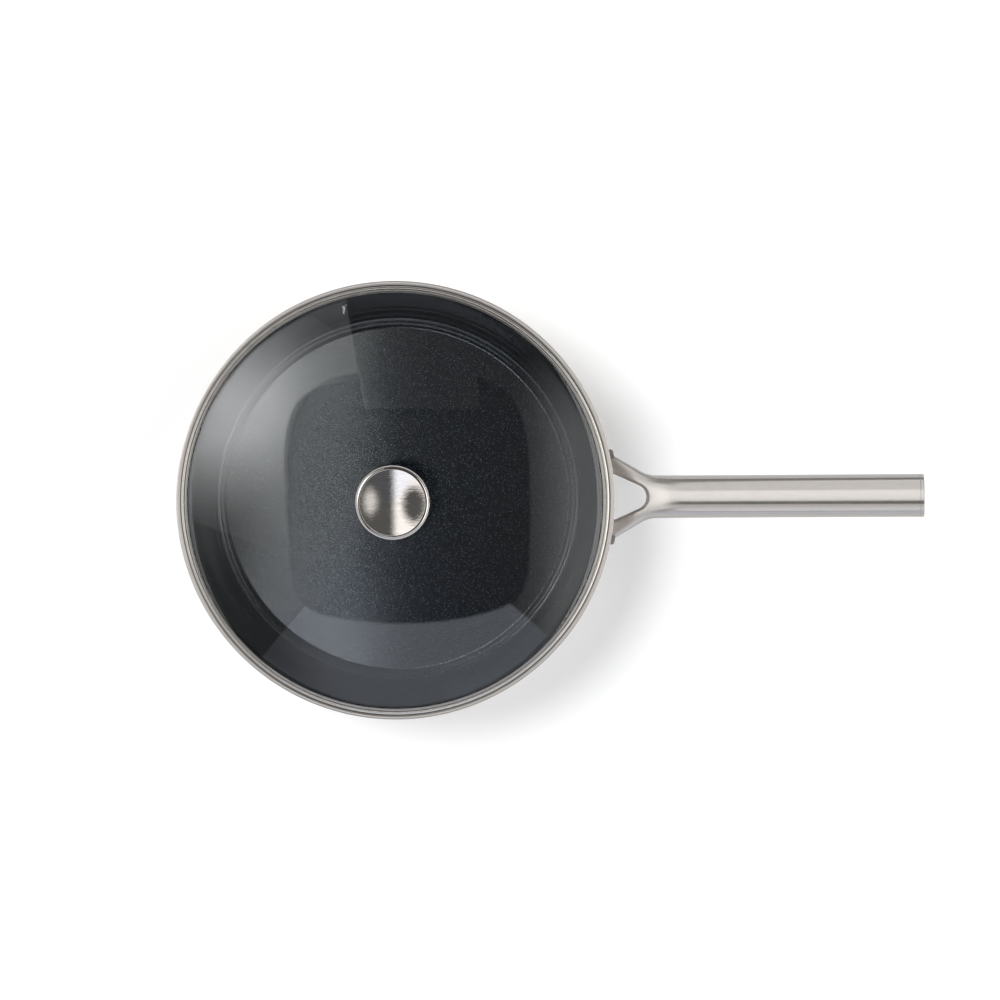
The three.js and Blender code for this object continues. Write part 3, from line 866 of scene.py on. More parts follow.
def lay_rows(shape, form, rows, side, half):
    """Lays rows of points on one side of the handle, in its upper or lower half, and gives the vertices."""
    laid = []
    for row in rows:
        laid.append([shape.verts.new(form.place(x, side * y, half * up)) for x, y, up in row])
    for row, following in zip(laid, laid[1:]):
        for j in range(len(row) - 1):
            shape.faces.new((row[j], row[j + 1], following[j + 1], following[j]))
    return laid


# Light of the studio


class LightTent:
    """Brightness of the studio by direction: four soft walls round an opening above.

    A direction is told by how far it leans to the right, across, and to the back, ahead, as it rises by
    one. A pair of numbers is where a soft edge starts and ends. An oval is its middle, its half sizes
    across and ahead, and the softness of its edge.
    """

    least_rise = 0.05

    # Opening above: a square with round corners, whose front edge bulges
    opening_left, opening_right = 0.424, 0.466
    opening_front, opening_bulge, opening_least = 0.476, 0.24, 0.1
    opening_back = 0.45
    front_corner_power, back_corner_power = 9, 4
    opening_edge = (0.98, 1.02)

    # Left wall, darker in a step at its back and towards the front
    left_lean, left_shift, left_edge = 0.22, 0.062, (-0.006, 0.006)
    step_front, step_side, step_depth = (0.24, 0.3), (-0.6, -0.5), 0.75
    left_fade, left_least = (-0.05, 0.4), 0.3

    # Flap that hangs into the back of the opening, right of the left wall
    flap_right, flap_front = (0.275, 0.285), (0.295, 0.31)

    # Front wall, between two slanting edges and darker at its left, and a little bluer than the others
    front_left_slant, front_left_edge = 1.145, (-0.026, -0.01)
    front_right_slant, front_right_edge = 0.94, (0.04, 0.06)
    front_grow, front_least = (-0.6, -0.25), 0.45
    front_colour, other_colour = (0.93, 0.965, 1.06), (1.0, 1.0, 0.985)

    # Right wall, darker near the opening and towards the back
    right_edge = (0.4, 0.46)
    right_grow, right_least = (0.44, 0.7), 0.24
    right_fade, right_back = (0.2, 0.6), 0.25

    # Low panels at the left and right
    flank_right, flank_left, flank_left_share = (0.84, 0.9), (1.0, 1.06), 0.5
    flank_end, flank_sides = (1.8, 3.0), (0.7, 1.0)

    # Glow low down all round, darker at the back
    horizon_height, horizon_fade, horizon_back = (0.25, 0.6), (0.0, 0.5), 0.4

    # Small panel beside the camera, bright on its left half, with a hole in it and a lamp next to it
    panel, panel_middle, panel_dark = (-0.033, -0.024, 0.112, 0.112, 0.03), (-0.04, -0.037), 0.16
    panel_hole = (-0.0955, -0.018, 0.034, 0.052, 0.04)
    panel_lamp, panel_lamp_share = (0.029, -0.028, 0.017, 0.034, 0.3), 0.6

    # Thin bright gap at the back
    gap, gap_light = (-0.243, 0.8, 0.004, 0.06, 0.3), 5.0

    def past_opening(self, across, ahead):
        """1 on the walls and 0 in the opening above."""
        front_power, back_power = self.front_corner_power, self.back_corner_power
        side = (across / -self.opening_left).most(across / self.opening_right)
        front_reach = (self.opening_front - across * across * self.opening_bulge).most(self.opening_least)
        front = (-ahead / front_reach).most(0)
        back = (ahead / self.opening_back).most(0)
        front_half = (side**front_power + front**front_power) ** (1 / front_power)
        back_half = (side**back_power + back**back_power) ** (1 / back_power)
        return front_half.most(back_half).ramp(*self.opening_edge)

    def walls_light(self, studio, across, ahead):
        """Brightness of the walls and the opening, and where the front wall is."""
        left = 1 - (across + ahead * self.left_lean + self.left_shift).ramp(*self.left_edge)
        flap = (1 - left) * (1 - across.ramp(*self.flap_right)) * ahead.ramp(*self.flap_front)
        walls = self.past_opening(across, ahead).most(flap)
        front = (across * self.front_left_slant - ahead).ramp(*self.front_left_edge)
        front = front * (-ahead - across * self.front_right_slant).ramp(*self.front_right_edge)
        right = (1 - left) * across.ramp(*self.right_edge) * (1 - front)
        left = left * (1 - front)
        step = 1 - ahead.ramp(*self.step_front) * (1 - across.ramp(*self.step_side)) * self.step_depth
        light = left * step * (-ahead).fade(*self.left_fade, self.left_least) * studio.left_light
        light = light + front * across.grow(*self.front_grow, self.front_least) * studio.front_light
        right_shade = across.grow(*self.right_grow, self.right_least)
        right_shade = right_shade * ahead.fade(*self.right_fade, self.right_back)
        light = light + right * right_shade * studio.right_light
        light = light + (1 - left - front - right).most(0) * studio.back_light
        return walls * light + (1 - walls) * studio.opening, front

    def panel_light(self, studio, across, ahead, light):
        """Brightness with the small panel and the gap over it."""

        def oval(x, y, width, depth, edge):
            reach = (((across - x) / width) ** 2 + ((ahead - y) / depth) ** 2) ** 0.5
            return 1 - reach.ramp(1 - edge, 1 + edge)

        bright = (1 - across.ramp(*self.panel_middle)) * (1 - oval(*self.panel_hole))
        lamp = oval(*self.panel_lamp) * self.panel_lamp_share
        level = bright * studio.panel_light + lamp * studio.panel_light + self.panel_dark
        return light + oval(*self.panel) * (level - light) + oval(*self.gap) * self.gap_light

    def flanks(self, across, ahead):
        """1 on the low panel at the right, and a share of it on the one at the left."""
        sides = across.ramp(*self.flank_right) + (-across).ramp(*self.flank_left) * self.flank_left_share
        near = 1 - (across * across + ahead * ahead).ramp(*self.flank_end)
        return sides * near * (1 - (ahead * ahead).ramp(*self.flank_sides))

    def world(self, studio):
        """The world that holds the tent."""
        finish = Finish(bpy.data.worlds.new("light_tent"))
        x, y, z = finish.split(finish.add("ShaderNodeTexCoord", output="Generated"))
        rise = z.most(self.least_rise)
        across, ahead = x / rise, y / rise
        light, front = self.walls_light(studio, across, ahead)
        light = self.panel_light(studio, across, ahead, light)
        light = light + self.flanks(across, ahead) * studio.flank_light
        horizon = studio.horizon * y.fade(*self.horizon_fade, self.horizon_back)
        light = light + (1 - z.ramp(*self.horizon_height)) * (horizon - light).most(0)
        level = finish.tint(light, finish.mix(front, self.other_colour, self.front_colour))
        shader = finish.add("ShaderNodeBackground", inputs={"Color": level, "Strength": 1.0})
        return finish.done(shader, "ShaderNodeOutputWorld")


# Operators, one for each piece or group of like pieces


class SkilletOperator:
    """What the operators share."""

    bl_options = {"REGISTER", "UNDO"}

    @property
    def settings(self):
        return bpy.context.scene.skillet


class SKILLET_OT_bowl(SkilletOperator, bpy.types.Operator):
    """Press the steel bowl with its pouring lip"""

    bl_idname = "skillet.bowl"
    bl_label = "Bowl"

    def execute(self, context):
        pan, finishes = self.settings.pan, self.settings.finishes
        # The bowl's steel carries painted shade in its crevices, such as under the lid's bead
        steel = brushed_steel(
            "pan_steel", finishes.pan_steel, round_grain,
            gloss=0.3, low=3.0, high=1400.0, depth=0.03, crevice_shade_width=0.002,
        )
        path = PanSection(pan).path(True, pan.corner_radius)
        outline = soften(sheet(path, -pan.sheet, 0), pan.lip_edge)
        add_round("bowl", outline, RIM_SIDES, steel, "pan", "pan_bowl")
        return {"FINISHED"}


class SKILLET_OT_lining(SkilletOperator, bpy.types.Operator):
    """Lay the ceramic lining in the bowl, with a wider bend on its upper face"""

    bl_idname = "skillet.lining"
    bl_label = "Ceramic Lining"

    def execute(self, context):
        pan, finishes = self.settings.pan, self.settings.finishes
        section = PanSection(pan)
        under = offset(section.path(False, pan.corner_radius), pan.bond)
        top = offset(section.path(False, pan.lining_bend), pan.bond + pan.lining)
        ceramic = lining_ceramic("dark_ceramic", finishes.lining, finishes.fleck)
        add_round("lining", under + top[::-1], RIM_SIDES, ceramic, "pan", "ceramic_coating")
        return {"FINISHED"}


class SKILLET_OT_base(SkilletOperator, bpy.types.Operator):
    """Press the turned steel cap over the aluminium disc under the bowl"""

    bl_idname = "skillet.base"
    bl_label = "Base"

    def execute(self, context):
        pan, finishes = self.settings.pan, self.settings.finishes
        radius, top = round_reach("base_cap"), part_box("base_cap")[1].z
        path = [Vector((0, 0)), Vector((radius * 0.5, 0))]
        path += arc((radius - pan.cap_edge, pan.cap_edge), pan.cap_edge, -math.pi / 2, 0, 8)
        path += [Vector((radius, top))]
        outline = soften(sheet(path, 0, pan.cap_sheet), pan.cap_cut)
        steel = brushed_steel(
            "base_steel", finishes.pan_steel, round_grain, gloss=0.32, low=3.0, high=2200.0, depth=0.4
        )
        add_round("base_cap_skin", outline, WIDE_SIDES, steel, "pan", "base_cap")
        aluminium = brushed_steel(
            "core_aluminium", finishes.aluminium, round_grain, gloss=0.45, low=3.0, high=1800.0, depth=0.2
        )
        dress("base_core", aluminium)
        return {"FINISHED"}


class SKILLET_OT_handle(SkilletOperator, bpy.types.Operator):
    """Loft the hollow handle from its two legs to the tube"""

    bl_idname = "skillet.handle"
    bl_label = "Handle"

    # Points of half a cross-section, those of them on the window's rounded edge, and how many lines past
    # the window the points take to spread evenly
    ring_points, edge_points, settling = 22, 6, 12

    def stations(self, form):
        """Lines across one half of the handle, seen from above: inner end, and reach at the side.

        They fan round the window, and their outer ends run ahead of their inner ones there.
        """
        leg_steps, round_steps, edge_steps, neck_steps, tube_steps = 10, 14, 5, 8, 14
        side_lead, side_round, side_edge = 0.0045, 0.0085, 0.0012
        sizes = form.sizes
        tangent = math.pi / 2 - sizes.window_spread
        bend_in = form.window_centre + sizes.window_radius * math.cos(tangent)
        bend_out = form.window_end - side_lead
        first_in = form.on_circle(form.leg_reach, form.window_half_width)
        first_out = form.on_circle(form.leg_reach, form.half_width)
        lines = []
        for i in range(leg_steps):
            t = i / leg_steps
            x = first_in + (bend_in - first_in) * t
            lines.append((x, form.window_half_width(x), first_out + (bend_out - first_out) * t))
        for i in range(round_steps + 1):
            t = i / round_steps
            a = tangent * (1 - t)
            x = form.window_centre + sizes.window_radius * math.cos(a)
            lines.append((x, sizes.window_radius * math.sin(a), bend_out + side_round * t))
        corner = len(lines) - 1
        for i in range(1, edge_steps + 1):
            t = i / edge_steps
            x = form.window_end + sizes.window_edge * (1 - math.cos(math.pi / 2 * t))
            lines.append((x, 0.0, bend_out + side_round + side_edge * t))
        start, _, side = lines[-1]
        for i in range(1, neck_steps + 1):
            t = i / neck_steps
            x = start + (form.tube_start - start) * t
            lines.append((x, 0.0, side + (form.tube_start - side) * t))
        for i in range(1, tube_steps + 1):
            x = form.tube_start + (form.tube_end - 4 * sizes.seam - form.tube_start) * i / tube_steps
            lines.append((x, 0.0, x))
        lines.append((form.tube_end - sizes.seam, 0.0, form.tube_end - sizes.seam))
        return lines, corner

    @staticmethod
    def along(form, line, t):
        """Place along the handle and angle on the cross-section, at a share of a line."""
        x_in, y_in, x_out = line
        theta_in = form.theta_at(x_in, y_in) if y_in > 0 else math.pi / 2
        return x_in + (x_out - x_in) * t, theta_in * (1 - t)

    def half_ring(self, form, line, shares, inset=0.0):
        """Points of the upper half of a cross-section from its inner end to its side."""
        edge = form.sizes.window_edge
        points = []
        for t in shares:
            x, theta = self.along(form, line, t)
            across, up = form.point(x, theta, inset)
            gap = max(form.from_window(x, across), 0)
            if gap < edge:
                up = max(up - edge + math.sqrt(edge**2 - (edge - gap) ** 2), 0)
            points.append((x, across, up))
        return points

    def edge_shares(self, form, line):
        """Places along a line: close over the window's rounded edge, even from there to the side."""

        def gap(t):
            x, theta = self.along(form, line, t)
            return form.from_window(x, form.point(x, theta)[0])

        shares = [0.0]
        for i in range(1, self.edge_points + 1):
            wanted = form.sizes.window_edge * (1 - math.cos(math.pi / 2 * i / self.edge_points))
            low, high = 0.0, 0.75
            for _ in range(40):
                middle = (low + high) / 2
                low, high = (middle, high) if gap(middle) < wanted else (low, middle)
            shares.append(low)
        last, rest = shares[-1], self.ring_points - len(shares)
        return shares + [last + (1 - last) * (i + 1) / rest for i in range(rest)]

    def rows(self, form):
        """Half rings from the legs to the end and back through the bore, and the last one at the window."""
        sizes, end = form.sizes, form.tube_end
        lines, corner = self.stations(form)
        even = [i / (self.ring_points - 1) for i in range(self.ring_points)]
        rows = []
        for i, line in enumerate(lines):
            if i <= corner:
                shares = last = self.edge_shares(form, line)
            else:
                t = min((i - corner) / self.settling, 1)
                shares = [a + (b - a) * t for a, b in zip(last, even)]
            rows.append(self.half_ring(form, line, shares))
        rows.append(self.half_ring(form, (end, 0.0, end), even, sizes.seam))
        bore_start, bore_steps = form.window_end + sizes.neck_wall, 9
        for i in range(bore_steps + 1):
            x = end + (bore_start - end) * i / bore_steps
            rows.append(self.half_ring(form, (x, 0.0, x), even, sizes.tube_wall))
        return rows, corner

    def mesh(self, form):
        """Both sides of the handle, closed round the window, at the legs' ends and in the bore."""
        rows, corner = self.rows(form)
        last = self.ring_points - 1

        def build(shape):
            for side in (1, -1):
                upper = lay_rows(shape, form, rows, side, 1)
                lower = lay_rows(shape, form, rows, side, -1)
                for i in range(corner):
                    shape.faces.new((upper[i][0], upper[i + 1][0], lower[i + 1][0], lower[i][0]))
                for i in (0, -1):
                    for j in range(last):
                        corners = (upper[i][j], upper[i][j + 1], lower[i][j + 1], lower[i][j])
                        shape.faces.new(corners[:3] if j == last - 1 else corners)

        return mesh_from("handle_tube", build)

    def execute(self, context):
        form = HandleForm(self.settings.handle, self.settings.pan)
        # The handle's steel carries painted shade on its sideways-facing flanks; the end cap and feet share
        # it
        steel = brushed_steel(
            "handle_steel", self.settings.finishes.handle_steel, along_grain,
            gloss=0.14, low=30.0, high=2600.0, depth=0.12, dull=(0.15, 0.195), flanks=(0.32, 0.55),
        )
        add_piece("handle_tube", self.mesh(form), steel, "pan", "handle", 35)
        return {"FINISHED"}


class SKILLET_OT_end_cap(SkilletOperator, bpy.types.Operator):
    """Close the tube's end with its flanged cap, in the handle's finish"""

    bl_idname = "skillet.end_cap"
    bl_label = "Handle End Cap"

    @staticmethod
    def ring(form, x, inset):
        steps = 80
        points = []
        for i in range(steps):
            a = 2 * math.pi * i / steps
            theta = math.asin(min(abs(math.sin(a)), 1))
            across, up = form.point(x, theta, inset)
            points.append(form.place(x, math.copysign(across, math.cos(a)), math.copysign(up, math.sin(a))))
        return points

    def execute(self, context):
        sizes, pan = self.settings.handle, self.settings.pan
        form = HandleForm(sizes, pan)
        seat, inner, round_steps = form.tube_end + pan.bond, sizes.tube_wall + pan.fit, 8
        stations = [
            (seat - sizes.plug_length, inner + sizes.plug_edge),
            (seat - sizes.plug_length + sizes.plug_edge, inner),
            (seat, inner),
            (seat, sizes.seam),
            (seat + sizes.seam, 0),
            (seat + 2 * sizes.seam, 0),
            (form.reach - sizes.plug_edge - pan.bond, 0),
        ]
        for i in range(round_steps + 1):
            a = math.pi / 2 * i / round_steps
            x = form.reach - sizes.plug_edge * (1 - math.sin(a))
            stations.append((x, sizes.plug_edge * (1 - math.cos(a))))
        cap = skin("handle_plug", [self.ring(form, x, inset) for x, inset in stations])
        add_piece("handle_plug", cap, finish_of("handle_tube"), "pan", "handle_end_cap")
        return {"FINISHED"}


class SKILLET_OT_feet(SkilletOperator, bpy.types.Operator):
    """Shape the two feet that carry the handle's legs on the wall, in the handle's finish"""

    bl_idname = "skillet.feet"
    bl_label = "Feet"

    def execute(self, context):
        sizes, pan = self.settings.handle, self.settings.pan
        form, section = HandleForm(sizes, pan), PanSection(pan)
        face_steps, round_steps, under_steps = 8, 6, 8
        high = form.height(form.leg_reach) + sizes.leg_height / 2 - sizes.foot_step
        low, shoulder = high - sizes.foot_height, high - sizes.foot_shoulder
        near = form.window_half_width(pan.rim_radius)
        ear_y = form.half_width(pan.rim_radius) + sizes.foot_ear - sizes.foot_rounding
        ear_angle = math.asin(ear_y / (form.foot_reach - sizes.foot_rounding))
        ear_x = ear_y / math.tan(ear_angle)
        turn_y = form.foot_reach * math.sin(ear_angle)

        def wall(height, y):
            radius = section.wall_radius(height) + (pan.sheet + pan.fit) / math.sin(section.slope)
            return math.sqrt(radius**2 - y**2)

        def outer(y):
            if y < turn_y:
                return math.sqrt(form.foot_reach**2 - y**2)
            return ear_x + math.sqrt(max(sizes.foot_rounding**2 - (y - ear_y) ** 2, 0))

        def section_at(y):
            start = Vector((wall(low, y) + sizes.foot_toe, low))
            handle = Vector((wall(shoulder, y) + sizes.foot_toe, (low + shoulder) / 2))
            ring = [Vector((wall(high, y), high)), Vector((wall(low, y), low)), start]
            ring += curve(start, handle, (outer(y), shoulder), under_steps)
            return ring + [Vector((outer(y), high))]

        places = [near + (turn_y - near) * i / face_steps for i in range(face_steps + 1)]
        first = math.asin(min((turn_y - ear_y) / sizes.foot_rounding, 1))
        for i in range(1, round_steps + 1):
            a = first + (math.pi / 2 - first) * i / round_steps
            places.append(ear_y + sizes.foot_rounding * math.sin(a))
        for side, name in ((1, "foot_left"), (-1, "foot_right")):
            rings = [[Vector((point.x, side * y, point.y)) for point in section_at(y)] for y in places]
            block = bevelled(skin(name, rings), sizes.foot_edge)
            foot = carve(block, self.pocket(form, pan.fit))
            add_piece(name, foot, finish_of("handle_tube"), "pan", f"handle_{name}", 30)
        return {"FINISHED"}

    @staticmethod
    def pocket(form, fit):
        """The end of the legs, a fit larger all round, as a tool to cut with."""
        steps, depth_steps, depth_step = 40, 6, 0.003
        rows = []
        for i in range(depth_steps):
            reach = form.leg_reach - fit + depth_step * i
            row = []
            for j in range(steps + 1):
                a = math.pi * j / steps
                theta = min(a, math.pi - a)
                x = form.on_circle(reach, lambda x: form.point(x, theta, -fit)[0])
                across, up = form.point(x, theta, -fit)
                row.append((x, math.copysign(across, math.cos(a)), up))
            rows.append(row)

        def build(shape):
            upper = lay_rows(shape, form, rows, 1, 1)
            lower = lay_rows(shape, form, rows, 1, -1)
            for i in (0, -1):
                for j in range(steps):
                    shape.faces.new((upper[i][j], upper[i][j + 1], lower[i][j + 1], lower[i][j]))

        return mesh_from("leg_pocket", build)


class SKILLET_OT_glass(SkilletOperator, bpy.types.Operator):
    """Bend the domed glass of the lid"""

    bl_idname = "skillet.glass"
    bl_label = "Lid Glass"

    def execute(self, context):
        lid, steps = self.settings.lid, 24
        cut = LidSection(lid, self.settings.pan)
        centre, lower, upper = (0, cut.dome_centre), cut.dome, cut.dome + lid.glass
        outline = arc(
            centre, lower, math.acos(lid.glass_hole / lower), math.acos(cut.glass_radius / lower), steps
        )
        outline += arc(
            centre, upper, math.acos(cut.glass_radius / upper), math.acos(lid.glass_hole / upper), steps
        )
        outline = soften(outline, lid.glass_edge)
        glass = lid_glass_finish("lid_glass", self.settings.finishes.glass)
        add_round("glass_dome", outline, WIDE_SIDES, glass, "lid", "lid_glass")
        return {"FINISHED"}


class SKILLET_OT_band(SkilletOperator, bpy.types.Operator):
    """Crimp the steel band round the glass"""

    bl_idname = "skillet.band"
    bl_label = "Lid Band"

    def execute(self, context):
        lid = self.settings.lid
        cut = LidSection(lid, self.settings.pan)
        # The band's steel carries painted shade in its crevices and inside the channel
        steel = brushed_steel(
            "band_steel", self.settings.finishes.band_steel, round_grain,
            gloss=0.26, low=3.0, high=1400.0, depth=0.02, crevice_shade_width=0.002,
            painted_shade_inside=(cut.channel_outside, cut.channel_outside + lid.groove),
        )
        outline = soften(self.outline(cut), lid.band_edge)
        add_round("crimped_band", outline, RIM_SIDES, steel, "lid", "lid_band")
        return {"FINISHED"}

    @staticmethod
    def outline(cut):
        """Skirt, folded plate, rolled bead and the channel over the edge of the glass."""
        lid, pan = cut.lid, cut.pan
        skirt_bottom = cut.plate_bottom - lid.skirt_depth
        skirt = cut.section.wall_radius(skirt_bottom) - pan.bond - pan.lining - lid.skirt_gap
        fold = math.asin(lid.sheet / lid.bead_radius)
        slope = math.asin(cut.glass_radius / cut.dome)
        crimp = Vector((cut.channel_inside, cut.glass_height(cut.channel_inside, lid.glass) + pan.bond))
        leaf = (lid.crimp_reach - lid.sheet) / math.cos(slope)
        leaf_end = crimp + Vector((-leaf * math.cos(slope), leaf * math.sin(slope)))
        over = Vector((math.sin(slope), math.cos(slope))) * lid.sheet
        points = [Vector((skirt - lid.sheet, skirt_bottom)), Vector((skirt, skirt_bottom))]
        points += [Vector((skirt, cut.plate_bottom))]
        stretch = 1 + lid.bead_width / (2 * lid.bead_radius)
        middle = cut.bead.x - lid.bead_width / 2
        bead = arc((0, cut.bead.y), lid.bead_radius, fold - math.pi, math.pi - fold, 20)
        points += [Vector((middle + point.x * stretch, point.y)) for point in bead]
        corner = Vector((cut.channel_outside, crimp.y))
        points += [Vector((cut.channel_outside, cut.plate_top)), corner]
        points += curve(corner, (cut.channel_outside, crimp.y + over.y), crimp + over, 6)
        points += [leaf_end + over, leaf_end, crimp, Vector((cut.channel_inside, cut.plate_top))]
        return points + [Vector((skirt - lid.sheet, cut.plate_top))]


class SKILLET_OT_knob_cap(SkilletOperator, bpy.types.Operator):
    """Spin the dished cap of the knob"""

    bl_idname = "skillet.knob_cap"
    bl_label = "Knob Cap"

    def execute(self, context):
        lid, high = self.settings.lid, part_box("knob_cap")[1].z
        edge = (lid.knob_radius - lid.knob_rim) / (1 + lid.knob_rim / lid.knob_dish)
        slope = math.asin(edge / lid.knob_dish)
        rim = Vector((lid.knob_radius - lid.knob_rim, high - lid.knob_rim))
        dish = rim.y + (lid.knob_rim + lid.knob_dish) * math.cos(slope)
        # The dish ends just short of the rim's bend, so that it shades evenly up to there
        short = 0.0003
        path = arc((0, dish), lid.knob_dish, -math.pi / 2, slope - short - math.pi / 2, 16)
        path[0].x = 0
        path += arc(rim, lid.knob_rim, math.pi / 2 + slope, 0, 14)
        path += [Vector((lid.knob_radius, high - lid.knob_cap_depth))]
        outline = soften(sheet(path, -lid.knob_sheet, 0), lid.knob_cap_edge)
        steel = brushed_steel(
            "knob_steel", self.settings.finishes.knob_steel, along_grain,
            gloss=0.022, low=60.0, high=3200.0, depth=0.14,
        )
        add_round("knob_top", outline, KNOB_SIDES, steel, "lid", "knob_cap")
        return {"FINISHED"}


class SKILLET_OT_stem(SkilletOperator, bpy.types.Operator):
    """Spin the stem of the knob"""

    bl_idname = "skillet.stem"
    bl_label = "Knob Stem"

    def execute(self, context):
        lid = self.settings.lid
        outline = soften(sheet(self.path(lid, self.settings.pan), 0, lid.knob_sheet), lid.stem_edge)
        steel = brushed_steel(
            "stem_steel", self.settings.finishes.knob_steel, round_grain,
            gloss=0.24, low=2.0, high=2200.0, depth=0.15,
        )
        add_round("knob_stem", outline, KNOB_SIDES, steel, "lid", "knob_body")
        return {"FINISHED"}

    @staticmethod
    def path(lid, pan):
        """Foot, waist and flare of the stem, up to its collar inside the cap."""
        low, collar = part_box("knob_body")[0].z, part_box("knob_cap")[1].z - lid.knob_cap_depth
        foot = Vector((lid.knob_foot - lid.knob_foot_edge, low + lid.knob_foot_edge))
        waist = low + 2 * lid.knob_foot_edge + lid.knob_sheet
        neck = Vector((lid.knob_waist, waist + lid.knob_sheet))
        inner = lid.knob_radius - lid.knob_sheet - pan.fit
        path = [Vector((lid.stem_bore, low))] + arc(foot, lid.knob_foot_edge, -math.pi / 2, 0, 6)
        path += curve(path[-1], (lid.knob_waist, waist - lid.knob_sheet), neck, 8)
        path += curve(neck, (lid.knob_waist, collar - lid.collar_depth), (inner, collar), 16)
        return path + [Vector((inner, collar + lid.collar_depth))]


def ring_outline(node, bore, edge):
    """Section of a ring that fills a node's box, with its edges rounded."""
    low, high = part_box(node)
    corners = ((bore, low.z), (high.y, low.z), (high.y, high.z), (bore, high.z))
    return soften([Vector(corner) for corner in corners], edge)


class SKILLET_OT_gaskets(SkilletOperator, bpy.types.Operator):
    """Mould the gaskets above and below the glass, and finish the bush between them"""

    bl_idname = "skillet.gaskets"
    bl_label = "Gaskets"

    def execute(self, context):
        lid = self.settings.lid
        silicone = silicone_finish("silicone", self.settings.finishes.silicone)
        for name, node in (("upper_seal", "knob_gasket"), ("lower_seal", "lower_gasket")):
            outline = ring_outline(node, lid.screw_hole, lid.gasket_edge)
            add_round(name, outline, RING_SIDES, silicone, "lid", node)
        dress("glass_bush", silicone)
        return {"FINISHED"}


class SKILLET_OT_washers(SkilletOperator, bpy.types.Operator):
    """Stamp the flat washer and the sprung ring with its cut"""

    bl_idname = "skillet.washers"
    bl_label = "Washers"

    def execute(self, context):
        lid = self.settings.lid
        steel = brushed_steel(
            "fastener_steel", self.settings.finishes.fastener_steel, round_grain,
            gloss=0.3, low=3.0, high=2600.0, depth=0.2,
        )
        flat = ring_outline("washer", lid.screw_hole, lid.washer_edge)
        add_round("flat_washer", flat, RING_SIDES, steel, "lid", "washer")
        sprung = ring_outline("spring_washer", lid.screw_hole, lid.sprung_edge)
        half_cut, steps = math.asin(lid.sprung_cut / round_reach("spring_washer")), 64
        rings = []
        for i in range(steps + 1):
            angle = half_cut + 2 * (math.pi - half_cut) * i / steps
            rings.append([turned(point, angle) for point in sprung])
        ring = skin("sprung_ring", rings)
        add_piece("sprung_ring", ring, steel, "lid", "spring_washer")
        return {"FINISHED"}


class SKILLET_OT_screw(SkilletOperator, bpy.types.Operator):
    """Turn the pan-head screw, and finish the boss that it holds in, in the washers' finish"""

    bl_idname = "skillet.screw"
    bl_label = "Knob Screw"

    def execute(self, context):
        lid, steel = self.settings.lid, finish_of("flat_washer")
        screw = revolve("pan_screw", self.outline(lid), SCREW_SIDES)
        bottom = Matrix.Translation((0, 0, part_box("knob_screw")[0].z))
        for width, depth in ((lid.recess_length, lid.recess_width), (lid.recess_width, lid.recess_length)):
            arm = bottom @ Matrix.Diagonal((width, depth, 2 * lid.recess_depth, 1))
            recess = bmesh.new()
            bmesh.ops.create_cube(recess, size=1, matrix=arm)
            tool = bpy.data.meshes.new("recess")
            recess.to_mesh(tool)
            recess.free()
            screw = carve(screw, tool)
        add_piece("pan_screw", screw, steel, "lid", "knob_screw")
        dress("knob_boss", steel)
        return {"FINISHED"}

    @staticmethod
    def outline(lid):
        """Rounded head, plain shaft, thread and chamfered end."""
        low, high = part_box("knob_screw")
        reach, shaft, seat = high.y, lid.screw_shaft, low.z + lid.screw_head
        points = [Vector((0, low.z)), Vector((reach - lid.screw_head / 2, low.z))]
        points += curve(points[-1], (reach, low.z), (reach, low.z + lid.screw_head / 2), 6)
        points += [Vector((reach, seat)), Vector((shaft, seat))]
        z = seat + lid.screw_plain
        while z < high.z - 2 * lid.screw_point:
            points += [Vector((shaft - lid.thread_depth, z)), Vector((shaft, z + lid.thread_pitch / 2))]
            z += lid.thread_pitch
        points += [Vector((shaft, high.z - lid.screw_point)), Vector((shaft - lid.screw_point, high.z))]
        return points + [Vector((0, high.z))]


